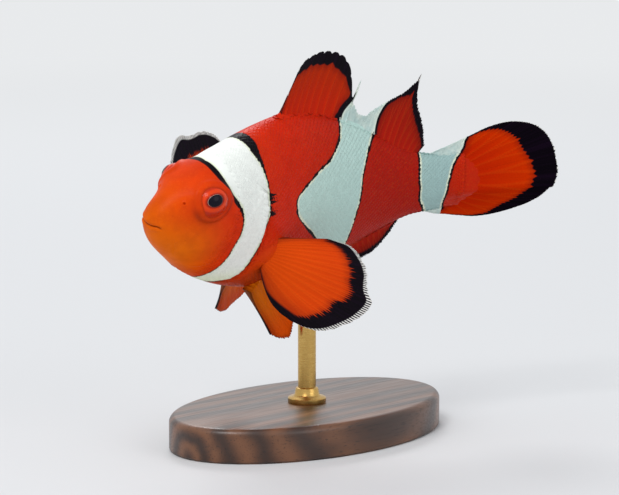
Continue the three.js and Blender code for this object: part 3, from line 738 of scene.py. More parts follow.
def wood_material():
    paint = Paint("walnut", Coat_Weight=0.35, Coat_Roughness=0.3, Specular_IOR_Level=0.4)
    place = grain_place(paint, 55.0, 520.0, 520.0)
    bend = paint.noise(place, 0.35, 3.0)
    rings = paint.add("TexWave", {"Vector": place, "Scale": 0.16, "Distortion": 5.0, "Detail": 3.0},
                      wave_type="RINGS", rings_direction="X")
    pores = paint.noise(paint.vector("MULTIPLY", place, (1.0, 3.0, 3.0)), 2.2, 2.0)
    color = paint.ramp(rings, [[0.0, rgb(52, 30, 18)], [0.5, rgb(84, 51, 31)],
                               [1.0, rgb(112, 71, 44)]])
    color = paint.layers(color, [
        (rgb(44, 25, 16), paint.range(bend, 0.4, 0.7), 0.5),
        (rgb(28, 16, 11), paint.range(pores, 0.58, 0.7), 0.6),
    ])
    return paint.finish(color, paint.range(pores, 0.3, 0.7, 0.34, 0.5), pores, 0.05 * MM, 0.4)


def brass_material():
    paint = Paint("brushed_brass", Metallic=1.0)
    lines = paint.noise(grain_place(paint, 900.0, 900.0, 9000.0), 1.0, 2.0)
    color = paint.mix(paint.range(lines, 0.3, 0.7), rgb(204, 168, 98), rgb(192, 154, 86))
    return paint.finish(color, paint.range(lines, 0.3, 0.7, 0.26, 0.34), lines, 0.01 * MM, 0.3)


# ---- The skin ----
SKIN_COLUMNS = 288
CAP_RINGS = 20
ring_spacing = number([[0, 0.1], [0.13, 0.12], [0.3, 0.17], [0.34, 0.36], [1, 0.42]])


def bake_place(x, around):
    """A skin point's place on the unwrap: along the fish, and around it from the belly."""
    along = 0.01 + 0.98 * x / (1 + TAIL_CAP)
    return np.stack(np.broadcast_arrays(along, 0.5 + 0.49 * around / math.pi), -1)


def ring_places():
    """Distances from the snout of the skin's rings."""
    path = body_point(SHARE_X, math.radians(60))
    steps = np.linalg.norm(np.diff(path, axis=0), axis=1)
    count = np.concatenate([[0], np.cumsum(steps / ring_spacing(SHARE_X[1:]))])
    return np.interp(np.arange(1, int(count[-1]) + 1), count, SHARE_X)


def skin_form(around):
    """Rings of points on the solids' surface, closed over the tail rays' roots, and how thin the
    skin is drawn out there."""
    rings, cap = ring_places(), np.linspace(0.05, 1, CAP_RINGS)
    x = np.concatenate([rings, np.ones(CAP_RINGS)])
    past = np.concatenate([np.zeros(len(rings)), cap])[:, None]
    thin = 0.05 + 0.95 * (1 - past) ** 1.15
    points = body_point(x[:, None], around)
    points[..., 1] *= thin
    points[..., 2] *= 1 - 0.45 * past**2
    points[..., 0] += past * TAIL_CAP * (1 - (points[..., 2] / LENGTH / 0.12) ** 2) * LENGTH
    return points, thin


def build_skin():
    around = np.linspace(-math.pi, math.pi, SKIN_COLUMNS, endpoint=False)
    points, thin = skin_form(around)
    rearward = np.gradient(points, axis=0)
    turning = np.roll(points, -1, axis=1) - np.roll(points, 1, axis=1)
    normals = unit(np.cross(turning, rearward))
    angle = np.broadcast_to(np.degrees(np.abs(around)), points.shape[:-1])
    share = points[..., 0] / LENGTH
    out, painted_shade = relief(share, angle, points)
    white, black = bar_marks(points, angle)
    shaped = points + normals * (out * thin)[..., None]

    poles = [[0.0, 0, -0.003 * LENGTH], shaped[-1].mean(axis=0)]
    place = np.vstack([points.reshape(-1, 3), poles])
    marks = [np.append(values, [OUTSIDE, OUTSIDE]) for values in (white, black)]
    marks = np.stack([*marks, np.full(len(place), OUTSIDE)], -1)
    faces, steps = tube_faces(*points.shape[:2], clockwise=True)
    turns = np.append(around, math.pi)
    run = share.mean(axis=1)
    fan = np.stack([turns[:-1], turns[:-1], turns[1:]], -1)
    corners = [bake_place(run[steps[..., 0]], turns[steps[..., 1]]),
               bake_place(np.array([0, run[0], run[0]]), fan),
               bake_place(np.array([run[-1]] * 3), fan[:, [0, 2, 1]])]
    values = {"place": place, "marks": marks, "painted_shade": np.append(painted_shade, [0, 0])}
    nodes = ["head", "lower_jaw", "gill_cover_left", "gill_cover_right", "trunk", "tail_stem"]
    return add_piece("skin", pose(folded(np.vstack([shaped.reshape(-1, 3), poles]))), faces,
                     skin_material(), nodes, values, corners)


build_skin()


# ---- The scales ----
# Height of a row of scales by distance from the snout. Neighbouring columns lie COLUMN_STEP of it
# apart, between the first and the last distance.
row_height = number([[0.14, 0.62], [0.22, 0.7], [0.34, 0.96], [0.46, 1.08], [0.7, 1.0],
                     [0.86, 0.8], [1.03, 0.55]])
COLUMN_STEP = 0.56
COLUMNS = {"first": 0.145, "last": 1.012}
# What scales keep clear of: the gill opening before and behind, the eye, the thinly scaled border,
# the fins' bases, and the pectoral's root, down to an angle.
CLEAR = {"before_gill": -0.35, "behind_gill": 0.7, "eye": 0.9, "border": 0.06, "fin_base": 0.72}
BARE_ROOT = {"x": 0.352, "z": -0.105, "radius": 0.043, "lowest": 125}
# A scale's ends, half width and lift, by its row's height; the share of its own paint that each of
# its points takes, where the rest is its middle's; and in millimetres its thickness, the gap under
# it, and the radius that it curves by. Rings are [size, drop by the thickness].
PLATE = {"root": -0.55, "tip": 0.76, "half": 0.6, "lift": 0.06, "own": 0.7,
         "thick": 0.03, "gap": 0.02, "radius": 9}
PLATE_RINGS = [[0.72, 0.06], [1.0, 0.5], [1.0, 1.4]]
PLATE_POINTS = 10
REGIONS = {"scales_head": [0, 0.3], "scales_flank": [0.3, 0.66], "scales_tail": [0.66, 2]}


def scale_places():
    """Distance from the snout and angle of every scale, in columns staggered by half a row."""
    places = []
    x, column = COLUMNS["first"], 0
    table = np.linspace(0, math.pi, 361)
    while x < COLUMNS["last"]:
        height = row_height(x)
        ring = body_point(min(x, 1), table)
        arc = np.concatenate([[0], np.cumsum(np.linalg.norm(np.diff(ring, axis=0), axis=1))])
        middle = np.interp(math.pi / 2, table, arc)
        half = int(arc[-1] / height) + 1
        rows = (np.arange(-half, half) + 0.5 * (column % 2)) * height + middle
        rows = rows[(rows > 0.3 * height) & (rows < arc[-1] - 0.3 * height)]
        angles = np.interp(rows, arc, table)
        places += [[x, side * angle] for angle in angles for side in (1, -1)]
        if column % 2 == 0:
            places += [[x, 0.0], [x, math.pi]]
        x += COLUMN_STEP * height / LENGTH
        column += 1
    places = np.array(places)
    x, angle = places[:, 0], np.degrees(np.abs(places[:, 1]))
    points = body_point(np.minimum(x, 1), places[:, 1])
    gill, _ = GILL.distance(points)
    eye = apart(on_left(points), EYE_CENTER) - EYE["radius"]
    root = np.hypot(points[:, 0] / LENGTH - BARE_ROOT["x"], points[:, 2] / LENGTH - BARE_ROOT["z"])
    keep = (gill < CLEAR["before_gill"]) | (gill > CLEAR["behind_gill"])
    keep &= (scaled(x, angle) > CLEAR["border"]) & (eye > CLEAR["eye"])
    keep &= (root > BARE_ROOT["radius"]) | (angle > BARE_ROOT["lowest"])
    return places[keep & (fin_base(x, angle) < CLEAR["fin_base"])]


def plate_form():
    """One scale: its top, rounded over at the edge, and its underside. Columns are the share of a
    row's height along the fish and across, and the share of the thickness."""
    k = np.arange(PLATE_POINTS)
    after = (k + 1) % PLATE_POINTS
    turn = k * 2 * math.pi / PLATE_POINTS
    middle, reach = (PLATE["root"] + PLATE["tip"]) / 2, (PLATE["tip"] - PLATE["root"]) / 2
    rows = [[middle, 0, 0]]
    for size, drop in PLATE_RINGS:
        along = middle + reach * size * np.cos(turn)
        across = PLATE["half"] * size * np.sin(turn) * (1 - 0.12 * np.cos(turn))
        rows += np.stack([along, across, np.full(PLATE_POINTS, -drop)], -1).tolist()
    rows.append([middle, 0, -PLATE_RINGS[-1][1]])
    faces = [[0 * k, 1 + k, 1 + after]]
    for ring in (0, 1):
        inner, outer = 1 + ring * PLATE_POINTS, 1 + (ring + 1) * PLATE_POINTS
        faces.append([inner + k, outer + k, outer + after])
        faces.append([inner + k, outer + after, inner + after])
    last = 1 + 2 * PLATE_POINTS
    faces.append([last + after, last + k, 0 * k + len(rows) - 1])
    return np.array(rows), np.vstack([np.stack(face, -1) for face in faces])


def build_scales(name, places, material):
    x, around = places.T
    angle = np.degrees(np.abs(around))
    points, normals, rearward = surface(x, around)
    points[:, 0] = x * LENGTH
    out, _ = relief(x, angle, points)
    height = row_height(x)
    spin = RANDOM.normal(0, 0.05, len(x))[:, None]
    size = (height * RANDOM.normal(1, 0.03, len(x)))[:, None]
    lift = PLATE["lift"] * height * RANDOM.normal(1, 0.1, len(x)) * scaled(x, angle)
    lift *= 1 - fin_base(x, angle)
    rearward = unit(rearward - normals * (rearward * normals).sum(1, keepdims=True))
    upward = np.cross(normals, rearward)
    along = rearward * np.cos(spin) + upward * np.sin(spin)
    across = upward * np.cos(spin) - rearward * np.sin(spin)

    form, faces = plate_form()
    ring = np.linalg.norm(points[:, 1:], axis=1)[:, None]
    turn = np.degrees(size * form[:, 1] / ring * np.sign(around[:, None] + 1e-6))
    run = (form[:, 0] - PLATE["root"]) / (PLATE["tip"] - PLATE["root"])
    rise = lift[:, None] * run + PLATE["thick"] * form[:, 2] * (0.3 + 0.7 * run)
    rise += (out + PLATE["gap"])[:, None] - 0.5 * (size * form[:, 1]) ** 2 / PLATE["radius"]
    slope = fin_base(x[:, None], np.abs(angle[:, None] - turn)) - fin_base(x, angle)[:, None]
    rise += (FIN_SHEATH + COAT * scaled(x, angle))[:, None] * slope
    plates = (points[:, None] + along[:, None] * (size * form[:, 0])[..., None]
              + across[:, None] * (size * form[:, 1])[..., None]
              + normals[:, None] * rise[..., None])
    painted = PLATE["own"] * plates + (1 - PLATE["own"]) * points[:, None]
    white, black = bar_marks(painted, np.abs(angle[:, None] - PLATE["own"] * turn))
    tone = np.broadcast_to(RANDOM.random(len(x))[:, None], white.shape)
    marks = np.stack([white, black, np.full_like(white, OUTSIDE)], -1)
    patch = 0.003 * form[:, :2] / (PLATE["tip"] - PLATE["root"])
    uv = (bake_place(x, around)[:, None] + patch).reshape(-1, 2)
    offsets = np.arange(len(x))[:, None, None] * len(form)
    faces = (offsets + faces).reshape(-1, 3)
    values = {"place": plates, "marks": marks, "tone": tone}
    return add_piece(name, pose(folded(plates)), [faces], material,
                     values=values, corners=[uv[faces]])


def build_coat():
    places, material = scale_places(), scale_material()
    for name, (first, last) in REGIONS.items():
        inside = (places[:, 0] >= first) & (places[:, 0] < last)
        if name == "scales_flank":
            build_scales(name + "_left", places[inside & (places[:, 1] >= 0)], material)
            build_scales(name + "_right", places[inside & (places[:, 1] < 0)], material)
        else:
            build_scales(name, places[inside], material)


build_coat()


# ---- The fins ----
# Share of the way along the fin, the ray's root along the body, and its tip's distance from the
# snout and height, as fractions of LENGTH.
SPINY_DORSAL = [
    [0, 0.4, 0.424, 0.27], [0.12, 0.42, 0.468, 0.335], [0.3, 0.46, 0.525, 0.357],
    [0.5, 0.51, 0.578, 0.363], [0.7, 0.565, 0.628, 0.347], [0.84, 0.61, 0.66, 0.303],
    [0.93, 0.635, 0.672, 0.25], [0.97, 0.643, 0.682, 0.238], [1, 0.65, 0.691, 0.272],
]
SOFT_DORSAL = [
    [0, 0.651, 0.674, 0.226], [0.05, 0.666, 0.692, 0.2], [0.12, 0.686, 0.72, 0.187],
    [0.2, 0.704, 0.737, 0.197],
    [0.3, 0.726, 0.765, 0.21], [0.42, 0.752, 0.8, 0.226], [0.54, 0.778, 0.836, 0.244],
    [0.64, 0.8, 0.868, 0.268], [0.68, 0.808, 0.868, 0.232], [0.74, 0.82, 0.876, 0.199],
    [0.86, 0.845, 0.892, 0.155], [1, 0.872, 0.903, 0.1],
]
ANAL = [
    [0, 0.64, 0.662, -0.2], [0.2, 0.68, 0.712, -0.2], [0.45, 0.725, 0.755, -0.186],
    [0.7, 0.775, 0.795, -0.166], [0.88, 0.81, 0.828, -0.13], [1, 0.83, 0.847, -0.1],
]
# Share, the ray's root and its tip, both as distance from the snout and height.
CAUDAL_HALF = [
    [0, 0.912, 0.066, 0.922, 0.0795], [0.07, 0.94, 0.064, 0.985, 0.1005],
    [0.13, 0.965, 0.062, 1.035, 0.119], [0.19, 0.985, 0.058, 1.092, 0.14],
    [0.25, 0.995, 0.05, 1.152, 0.148], [0.33, 1, 0.036, 1.216, 0.134], [0.41, 1, 0.02, 1.258, 0.09],
]
CAUDAL = [*CAUDAL_HALF, [0.5, 1, 0, 1.277, 0]]
CAUDAL += [[1 - share, a, -b, c, -d] for share, a, b, c, d in CAUDAL_HALF[::-1]]
CAUDAL_BOW = 0.05          # how far the outer rays curve outwards, as a share of their length
# Share, the ray's angle to the fin's middle line, and its length in millimetres.
PECTORAL = [
    [0, 27, 8], [0.1, 26.5, 9.9], [0.2, 24.5, 12.4], [0.35, 18, 14.9], [0.45, 12, 16.2],
    [0.52, 7.5, 16.7], [0.565, 4, 17.4], [0.61, 0, 18.7], [0.7, -7.3, 18.1], [0.8, -16.7, 16.3],
    [0.88, -25, 14.5], [0.94, -33, 12.1], [1, -43, 8.3],
]
PELVIC = [[0, 8, 9.5], [0.25, 4, 14.3], [0.5, 0, 16], [0.75, -4, 15], [1, -8, 11.5]]

# What every fin's plan says where its own says nothing. There are `columns` points from one ray to
# the next and `rows` along a ray. The edge has `teeth` to each ray, cut in between their tips to a
# depth of `cut`, by a `power` of the distance from a tip and by an `uneven` share. `wave` is how
# high and how often the sheet waves, `edges` how wide black lies along its first and last rays,
# `foot` how much and how steeply it thickens to its root, and `fray` how far orange runs out into
# the band. By share along the fin, `band` and `fringe` are the widths of the black band and of the
# pale fringe, and `longer` is how much the fin outreaches its solid.
PLAN = {"teeth": 4, "spines": False, "power": 1.5, "uneven": 0.5, "edges": (0, 0), "foot": (0.9, 4),
        "longer": [[0, 0], [1, 0]]}
PLANS = {
    "dorsal_fin_spiny": {
        "rays": 11, "columns": 14, "rows": 56, "teeth": 1, "spines": True, "power": 2, "uneven": 0,
        "cut": 0.35, "fray": 0.5, "wave": (0.35, 1.3), "edges": (0.06, 0),
        "band": [[0, 0.1], [0.05, 0.4], [0.1, 1.2], [0.2, 2.0], [0.4, 2.3], [0.5, 2.6], [0.6, 2.4],
                 [0.7, 2.5], [0.78, 2.2], [0.85, 1.9], [0.9, 1.5], [1, 0.6]],
        "fringe": [[0, 0.05], [1, 0.05]],
        "longer": [[0, 0], [0.96, 0], [1, 0.5]],
    },
    "dorsal_fin_soft": {
        "rays": 15, "columns": 16, "rows": 56, "cut": 0.3, "fray": 0.4, "wave": (0.4, 1.2),
        "edges": (0, 0.4),
        "band": [[0, 0.1], [0.34, 0.2], [0.4, 0.9], [0.5, 0.9], [0.55, 1.3], [0.6, 2.3],
                 [0.64, 3.4], [0.67, 2.4], [0.72, 1.9], [0.86, 1.6], [0.94, 1.2], [1, 0.9]],
        "fringe": [[0, 0.25], [0.3, 0.25], [0.5, 0.15], [0.62, 0.1], [0.64, 1.3], [0.66, 0.1],
                   [1, 0.05]],
        "longer": [[0, 0], [0.62, 0], [0.64, 1.4], [0.655, 0], [1, 0]],
    },
    "anal_fin": {
        "rays": 13, "columns": 16, "rows": 44, "cut": 0.25, "fray": 0.4, "wave": (0.3, 1.1),
        "edges": (0.3, 0.5),
        "band": [[0, 0.5], [0.2, 1.1], [0.6, 1.2], [1, 0.9]],
        "fringe": [[0, 0.1], [1, 0.1]],
    },
    "caudal_fin": {
        "rays": 16, "columns": 20, "rows": 64, "cut": 0.25, "fray": 0.7, "wave": (0.25, 2.4),
        "foot": (0.3, 3),
        "band": [[0, 0.3], [0.1, 0.9], [0.17, 1.3], [0.21, 2.0], [0.25, 2.9], [0.3, 4.2],
                 [0.35, 5.1], [0.4, 5.7], [0.45, 5.1], [0.5, 4.6], [0.56, 4.9], [0.62, 5.2],
                 [0.67, 5.2], [0.71, 4.2], [0.75, 2.8], [0.8, 1.6], [0.86, 0.9], [0.93, 0.5],
                 [1, 0.45]],
        "fringe": [[0, 0.05], [0.25, 0.2], [0.4, 0.3], [0.7, 0.2], [1, 0.05]],
        "longer": [[0, 0], [0.48, 0], [0.53, -0.5], [0.57, -0.4], [0.64, 0], [1, 0]],
    },
    "pectoral_fin_left": {
        "rays": 17, "columns": 25, "rows": 56, "teeth": 5, "cut": 0.3, "fray": 1.2,
        "wave": (0.3, 2.2), "edges": (0.02, 1.3),
        "band": [[0, 0.2], [0.04, 1.2], [0.1, 2.0], [0.2, 2.5], [0.33, 2.8], [0.42, 3.0],
                 [0.5, 3.1], [0.56, 3.5], [0.63, 4.7], [0.67, 4.5], [0.7, 5.6], [0.74, 4.8],
                 [0.82, 4.4], [0.89, 4.2], [0.95, 4.1], [1, 3.8]],
        "fringe": [[0, 0.05], [0.12, 0.4], [0.3, 0.7], [0.5, 0.8], [0.62, 1.2], [0.75, 1.1],
                   [0.9, 0.8], [1, 0.15]],
    },
    "pelvic_fin_left": {
        "rays": 6, "columns": 28, "rows": 50, "cut": 0.35, "fray": 0.5, "wave": (0.25, 1.2),
        "edges": (0.2, 0.3),
        "band": [[0, 0.3], [0.3, 0.4], [0.6, 0.3], [1, 0.45]],
        "fringe": [[0, 0], [0.4, 0.05], [1, 0.05]],
        "longer": [[0, 0], [0.5, 0.1], [0.6, 0.5], [0.72, 0.1], [1, 0]],
    },
}
near_pectoral = PLANS["pectoral_fin_left"]
PLANS["pectoral_fin_right"] = {
    **near_pectoral, "wave": (0.1, near_pectoral["wave"][1]),
    "band": [[share, width + 0.9] for share, width in near_pectoral["band"]],
}
PLANS["pelvic_fin_right"] = PLANS["pelvic_fin_left"]

# The paired fins' outlines, their roots' width, how far they curl and how far the last edge bulges;
# and on the body, their roots' places and their directions outwards and across.
PECTORAL_FORM = {"outline": PECTORAL, "root_span": 5.9, "bulge": 1.5}
PELVIC_FORM = {"outline": PELVIC, "root_span": 4.2, "bulge": 0}
PAIRED = {
    "pectoral_fin_left": {**PECTORAL_FORM, "cup": 1, "at": [0.362, -0.092, -0.102],
                          "out": [0.62, -0.72, -0.25], "across": [0.3, -0.2, 0.9]},
    "pectoral_fin_right": {**PECTORAL_FORM, "cup": -0.7, "at": [0.376, 0.091, -0.058],
                           "out": [0.25, 0.83, 0.5], "across": [0, -0.51, 0.86]},
    "pelvic_fin_left": {**PELVIC_FORM, "cup": 0.6, "at": [0.385, -0.035, -0.2],
                        "out": [0.75, 0, -0.66], "across": [0.8, 0, 0.5]},
    "pelvic_fin_right": {**PELVIC_FORM, "cup": -0.6, "at": [0.385, 0.035, -0.2],
                         "out": [0.6, 0.42, -0.62], "across": [0.7, -0.3, 0.5]},
}
MEMBRANE = 0.08            # half the thickness of a fin between its rays
RIDGE = {"spine": 0.12, "ray": 0.06}   # how high they stand over it at their roots


def median_rays(rows, edge_sign):
    """Roots, tips and bow of the rays of a fin on the fish's middle plane."""
    along = curve(rows)

    def rays(share):
        root_x, tip_x, tip_z = along(share).T
        _, top, bottom, _, _ = np.insert(body_at(root_x), 0, root_x, axis=1).T
        root_z = (top if edge_sign > 0 else bottom) * LENGTH - edge_sign * ROOT_DEPTH
        root = np.stack([root_x * LENGTH, 0 * root_x, root_z], -1)
        return root, np.stack([tip_x, 0 * tip_x, tip_z], -1) * LENGTH, 0 * root

    return rays


def caudal_rays(share):
    root_x, root_z, tip_x, tip_z = curve(CAUDAL)(share).T * LENGTH
    spread = 1 - 2 * share
    root = np.stack([root_x, 0 * share, root_z], -1)
    tip = np.stack([tip_x, 0 * share, tip_z], -1)
    lift = CAUDAL_BOW * spread * np.abs(spread) * np.linalg.norm(tip - root, axis=1)
    return root, tip, np.stack([0 * share, 0 * share, lift], -1)


def paired_rays(outline, root_span, bulge, cup, at, out, across):
    """Rays of a fin drawn flat in millimetres, its last edge bulging outwards, then curled, turned
    and set on the body."""
    along = curve(outline)
    outward = unit(np.array(out, float))
    sideways = np.array(across, float)
    sideways = unit(sideways - outward * (sideways @ outward))
    face = np.cross(outward, sideways)

    def place(u, v):
        curl = cup * (u / FIN_REACH) ** 2
        return (np.array(at) * LENGTH + outward * u[:, None] + sideways * v[:, None]
                + face * curl[:, None])

    def rays(share):
        angle, length = along(share).T
        angle = np.radians(angle)
        base = root_span * (0.5 - share)
        root = place(0 * share - ROOT_DEPTH, base)
        bow = -sideways * (bulge * share**5)[:, None]
        return root, place(length * np.cos(angle), base + length * np.sin(angle)), bow

    return rays


def branch_ridge(offset, out):
    """How high a ray stands at an offset from its line, in ray spacings: one ray near the root,
    which parts in two and then in four towards the edge."""
    first = 0.25 * blend(0.28, 0.8, out)
    second = 0.125 * blend(0.55, 1, out)
    width = 0.2 - 0.13 * blend(0.2, 0.9, out)
    branches = [bell(offset - a * first - b * second, width) for a in (-1, 1) for b in (-1, 1)]
    return np.maximum.reduce(branches)


def edge_teeth(plan, phase):
    """By column, the distance from its tooth's tip, and two random numbers of that tooth."""
    teeth = phase * plan["teeth"]
    tooth = np.floor(teeth + 0.5).astype(int)
    uneven = RANDOM.random(tooth.max() + 2)
    return np.abs(teeth - np.round(teeth)) * 2, uneven[tooth], uneven[(tooth * 7) % len(uneven)]


def fin_sheet(plan, rays, share, out, to_tip, uneven):
    """The fin's middle sheet: its points, its normals, and how far inside its tip each point is."""
    root, tip, bow = rays(share)
    length = np.linalg.norm(tip - root, axis=1)
    tip = tip + (tip - root) * (number(plan["longer"])(share) / length)[:, None]
    length = np.linalg.norm(tip - root, axis=1)
    cut = plan["cut"] * to_tip ** plan["power"] * (0.6 + 0.8 * uneven)
    cut = cut + plan["cut"] * plan["uneven"] * uneven
    o = (out * (1 - (cut / length)[:, None] * blend(0.3, 1, out)))[..., None]
    middle = root[:, None] + (tip - root)[:, None] * o + 4 * o * (1 - o) * bow[:, None]
    normals = unit(np.cross(np.gradient(middle, axis=0), np.gradient(middle, axis=1)))
    depth, count = plan["wave"]
    wave = depth * np.sin(2 * math.pi * (count * share[:, None] + 0.3 * out)) * out**1.6
    return middle + normals * wave[..., None], normals, length[:, None] * (1 - o[..., 0])


def fin_thickness(plan, phase, out):
    """How high the rays stand, from 0 to 1, and half the fin's thickness in millimetres."""
    offset = (phase - np.round(phase))[:, None]
    if plan["spines"]:
        ridge, height = bell(offset, 0.16 - 0.1 * out), RIDGE["spine"]
    else:
        ridge, height = branch_ridge(offset, out), RIDGE["ray"]
    foot, power = plan["foot"]
    half = MEMBRANE + foot * (1 - out) ** power + ridge * (height * (1 - 0.6 * out))
    return ridge, half * (1 - 0.75 * blend(0.96, 1, out))


def fin_marks(plan, share, out, middle, inset, frayed, bars, angle):
    """How far inside the fin's white, its black and its pale fringe the points are."""
    span = np.linalg.norm(middle[-1] - middle[0], axis=-1)
    band = number(plan["band"])(share)[:, None]
    fringe = number(plan["fringe"])(share)[:, None] - inset
    black = band - np.where(band > 0.5, frayed - 0.4 * plan["fray"], 0.3 * frayed) - inset
    first, last = plan["edges"]
    last = last * (0.15 + 0.85 * blend(0.25, 0.85, out))
    black = np.maximum(black, first - share[:, None] * span)
    black = np.maximum(black, last - (1 - share[:, None]) * span)
    white = np.full_like(black, OUTSIDE)
    if bars:
        white, margin = bar_marks(middle * [1, 0, 1], np.full(black.shape, angle), bars)
        black = np.maximum(black, margin)
        fringe = np.where(white > -0.3, OUTSIDE, fringe)
    return np.stack([white, black, fringe], -1)


def sheet_faces(columns, rows):
    """The two faces of a sheet and its rim, and their corners on the bake map. The second face's
    points follow the first's."""
    top, steps = grid_faces(columns, rows)
    count = columns * rows
    rim = np.concatenate([
        np.arange(columns) * rows + rows - 1,
        (np.arange(rows)[::-1] + (columns - 1) * rows)[1:],
        (np.arange(columns)[::-1] * rows)[1:],
        np.arange(rows)[1:-1],
    ])
    after = np.roll(rim, -1)
    sides = np.stack([after, rim, rim + count, after + count], -1)

    def bake(i, j):
        return np.stack([0.01 + 0.98 * i / (columns - 1), 0.01 + 0.48 * j / (rows - 1)], -1)

    top_corners = bake(steps[..., 0], steps[..., 1])
    side_corners = np.stack([bake(k // rows, k % rows) for k in (after, rim, rim, after)], 1)
    return ([top, top[:, ::-1] + count, sides],
            [top_corners, top_corners[:, ::-1] + [0, 0.5], side_corners])


def build_fin(name, rays, material, bars=(), angle=0.0, root=None):
    """A fin with its rays standing out of a thin membrane on both faces. bars are the body's bars
    that run on over it, at an angle, and root is where the spine carries a paired fin."""
    plan = {**PLAN, **PLANS[name]}
    columns = (plan["rays"] - 1) * plan["columns"] + 1
    share = np.linspace(0, 1, columns)
    phase = share * (plan["rays"] - 1)
    out = 1 - (1 - np.linspace(0, 1, plan["rows"])) ** 1.25
    to_tip, uneven, chance = edge_teeth(plan, phase)
    middle, normals, inset = fin_sheet(plan, rays, share, out, to_tip, uneven)
    ridge, half = fin_thickness(plan, phase, out)
    frayed = plan["fray"] * (1 - to_tip[:, None]) * (0.35 + 0.9 * chance[:, None])
    values = {
        "place": middle,
        "marks": fin_marks(plan, share, out, middle, inset, frayed, bars, angle),
        "ray": np.stack(np.broadcast_arrays(phase[:, None], out, ridge), -1),
    }
    values = {key: np.stack([value, value]) for key, value in values.items()}
    points = np.stack([middle + normals * half[..., None], middle - normals * half[..., None]])
    faces, corners = sheet_faces(columns, plan["rows"])
    return add_piece(name, pose(folded(points), root), faces, material, [name], values,
                     corners)


def build_fins():
    front = fin_material("dorsal_paint", rgb(196, 34, 6), rgb(176, 42, 6), 2, 0.08)
    rear = fin_material("rear_fin_paint", rgb(168, 24, 9), rgb(150, 26, 10), 4, 0.08)
    tail = fin_material("tail_paint", rgb(184, 32, 4), rgb(200, 48, 2), 4, 0.03, 0.0)
    pectoral = fin_material("pectoral_paint", rgb(222, 74, 4), rgb(214, 64, 6), 5, 0.06)
    pelvic = fin_material("pelvic_paint", rgb(246, 128, 4), rgb(240, 88, 4), 4, 0.06)
    build_fin("dorsal_fin_spiny", median_rays(SPINY_DORSAL, 1), front, [1], -30)
    build_fin("dorsal_fin_soft", median_rays(SOFT_DORSAL, 1), rear, [1])
    build_fin("anal_fin", median_rays(ANAL, -1), rear)
    build_fin("caudal_fin", caudal_rays, tail, [2])
    for name, form in PAIRED.items():
        material = pectoral if form["outline"] is PECTORAL else pelvic
        build_fin(name, paired_rays(**form), material, root=form["at"][0] * LENGTH)


build_fins()


# ---- The eyes ----
def build_eye(name, side, material):
    """A ball with a lens that bulges a little. side is -1 on the left and 1 on the right."""
    polar = np.concatenate([np.linspace(0.5, 75, 60), np.linspace(78, 178, 24)])
    turn = np.linspace(0, 2 * math.pi, 72, endpoint=False)
    b, a = np.meshgrid(np.radians(polar), turn, indexing="ij")
    arc = b * EYE["radius"]
    lens = LENS["rise"] * np.sqrt(np.clip(1 - (arc / LENS["radius"]) ** 2, 0, 1))
    lens -= LENS["rim_depth"] * bell(arc - LENS["rim"], LENS["rim_width"])
    radius = (EYE["radius"] + lens)[..., None]
    sideways = np.cos(a)[..., None] * EYE_FORWARD + np.sin(a)[..., None] * EYE_UP
    points = EYE_CENTER + radius * (np.cos(b)[..., None] * EYE_OUT
                                    + np.sin(b)[..., None] * sideways)
    front = EYE_CENTER + (EYE["radius"] + LENS["rise"]) * EYE_OUT
    points = np.vstack([points.reshape(-1, 3), front, EYE_CENTER - EYE["radius"] * EYE_OUT])
    gaze = np.stack([arc * np.cos(a), arc * np.sin(a), 0 * a], -1).reshape(-1, 3)
    gaze = np.vstack([gaze, [0, 0, 0], [9, 0, 0]])
    faces, _ = tube_faces(*b.shape, clockwise=True)
    if side > 0:
        points = points * [1, -1, 1]
        faces = [f[:, ::-1] for f in faces]
    corners = [(gaze[:, :2] / 20 + 0.5)[f] for f in faces]
    return add_piece(name, pose(points), faces, material, [name], {"gaze": gaze}, corners)


eye_paint = eye_material()
build_eye("eye_left", -1, eye_paint)
build_eye("eye_right", 1, eye_paint)


# ---- The stand ----
# In millimetres: the base's lower chamfer and upper bevel, where the bare rod starts over the base,
# and the collar's [radius, height] over the base.
STAND = {"chamfer": 0.4, "bevel": 1.2, "bevel_steps": 6, "rod_start": 2.75}
COLLAR = [[3.3, 0], [3.4, 0.15], [3.4, 0.8], [3.2, 1.0], [2.5, 1.15], [2.2, 1.5], [2.05, 2.3],
          [1.95, 2.6]]
SHARP = 40                 # edges of the stand over this angle stay sharp


def turned(name, profile, material, node, columns):
    """A turned piece. profile gives rows of [half length, half width, height] in metres."""
    turn = np.linspace(0, 2 * math.pi, columns, endpoint=False)
    rings = [np.stack([a * np.cos(turn), b * np.sin(turn), np.full(columns, z)], -1)
             for a, b, z in profile]
    points = np.vstack([*rings, [0, 0, profile[0][2]], [0, 0, profile[-1][2]]])
    faces, _ = tube_faces(len(rings), columns)
    piece = add_piece(name, points, faces, material, [node])
    piece.data.set_sharp_from_angle(angle=math.radians(SHARP))


def bevelled(half_length, half_width, height):
    """An oval block's profile, with a small chamfer below and a rounded edge above."""
    chamfer, bevel = STAND["chamfer"] * MM, STAND["bevel"] * MM
    rows = [[half_length - chamfer, half_width - chamfer, 0], [half_length, half_width, chamfer]]
    for a in np.linspace(0, math.pi / 2, STAND["bevel_steps"] + 1):
        inset = bevel * (1 - math.cos(a))
        rows.append([half_length - inset, half_width - inset, height - bevel + bevel * math.sin(a)])
    return rows


def build_stand():
    low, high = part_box("stand_base")
    half_length, half_width = ((high[i] - low[i]) / 2 for i in (0, 1))
    base_top = high[2]
    turned("base", bevelled(half_length, half_width, base_top), wood_material(),
           "stand_base", 160)
    low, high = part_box("stand_rod")
    radius = (high[0] - low[0]) / 2
    profile = [[r * MM, r * MM, base_top + z * MM] for r, z in COLLAR]
    profile += [[radius, radius, z] for z in (base_top + STAND["rod_start"] * MM, high[2])]
    turned("rod", profile, brass_material(), "stand_rod", 64)


build_stand()


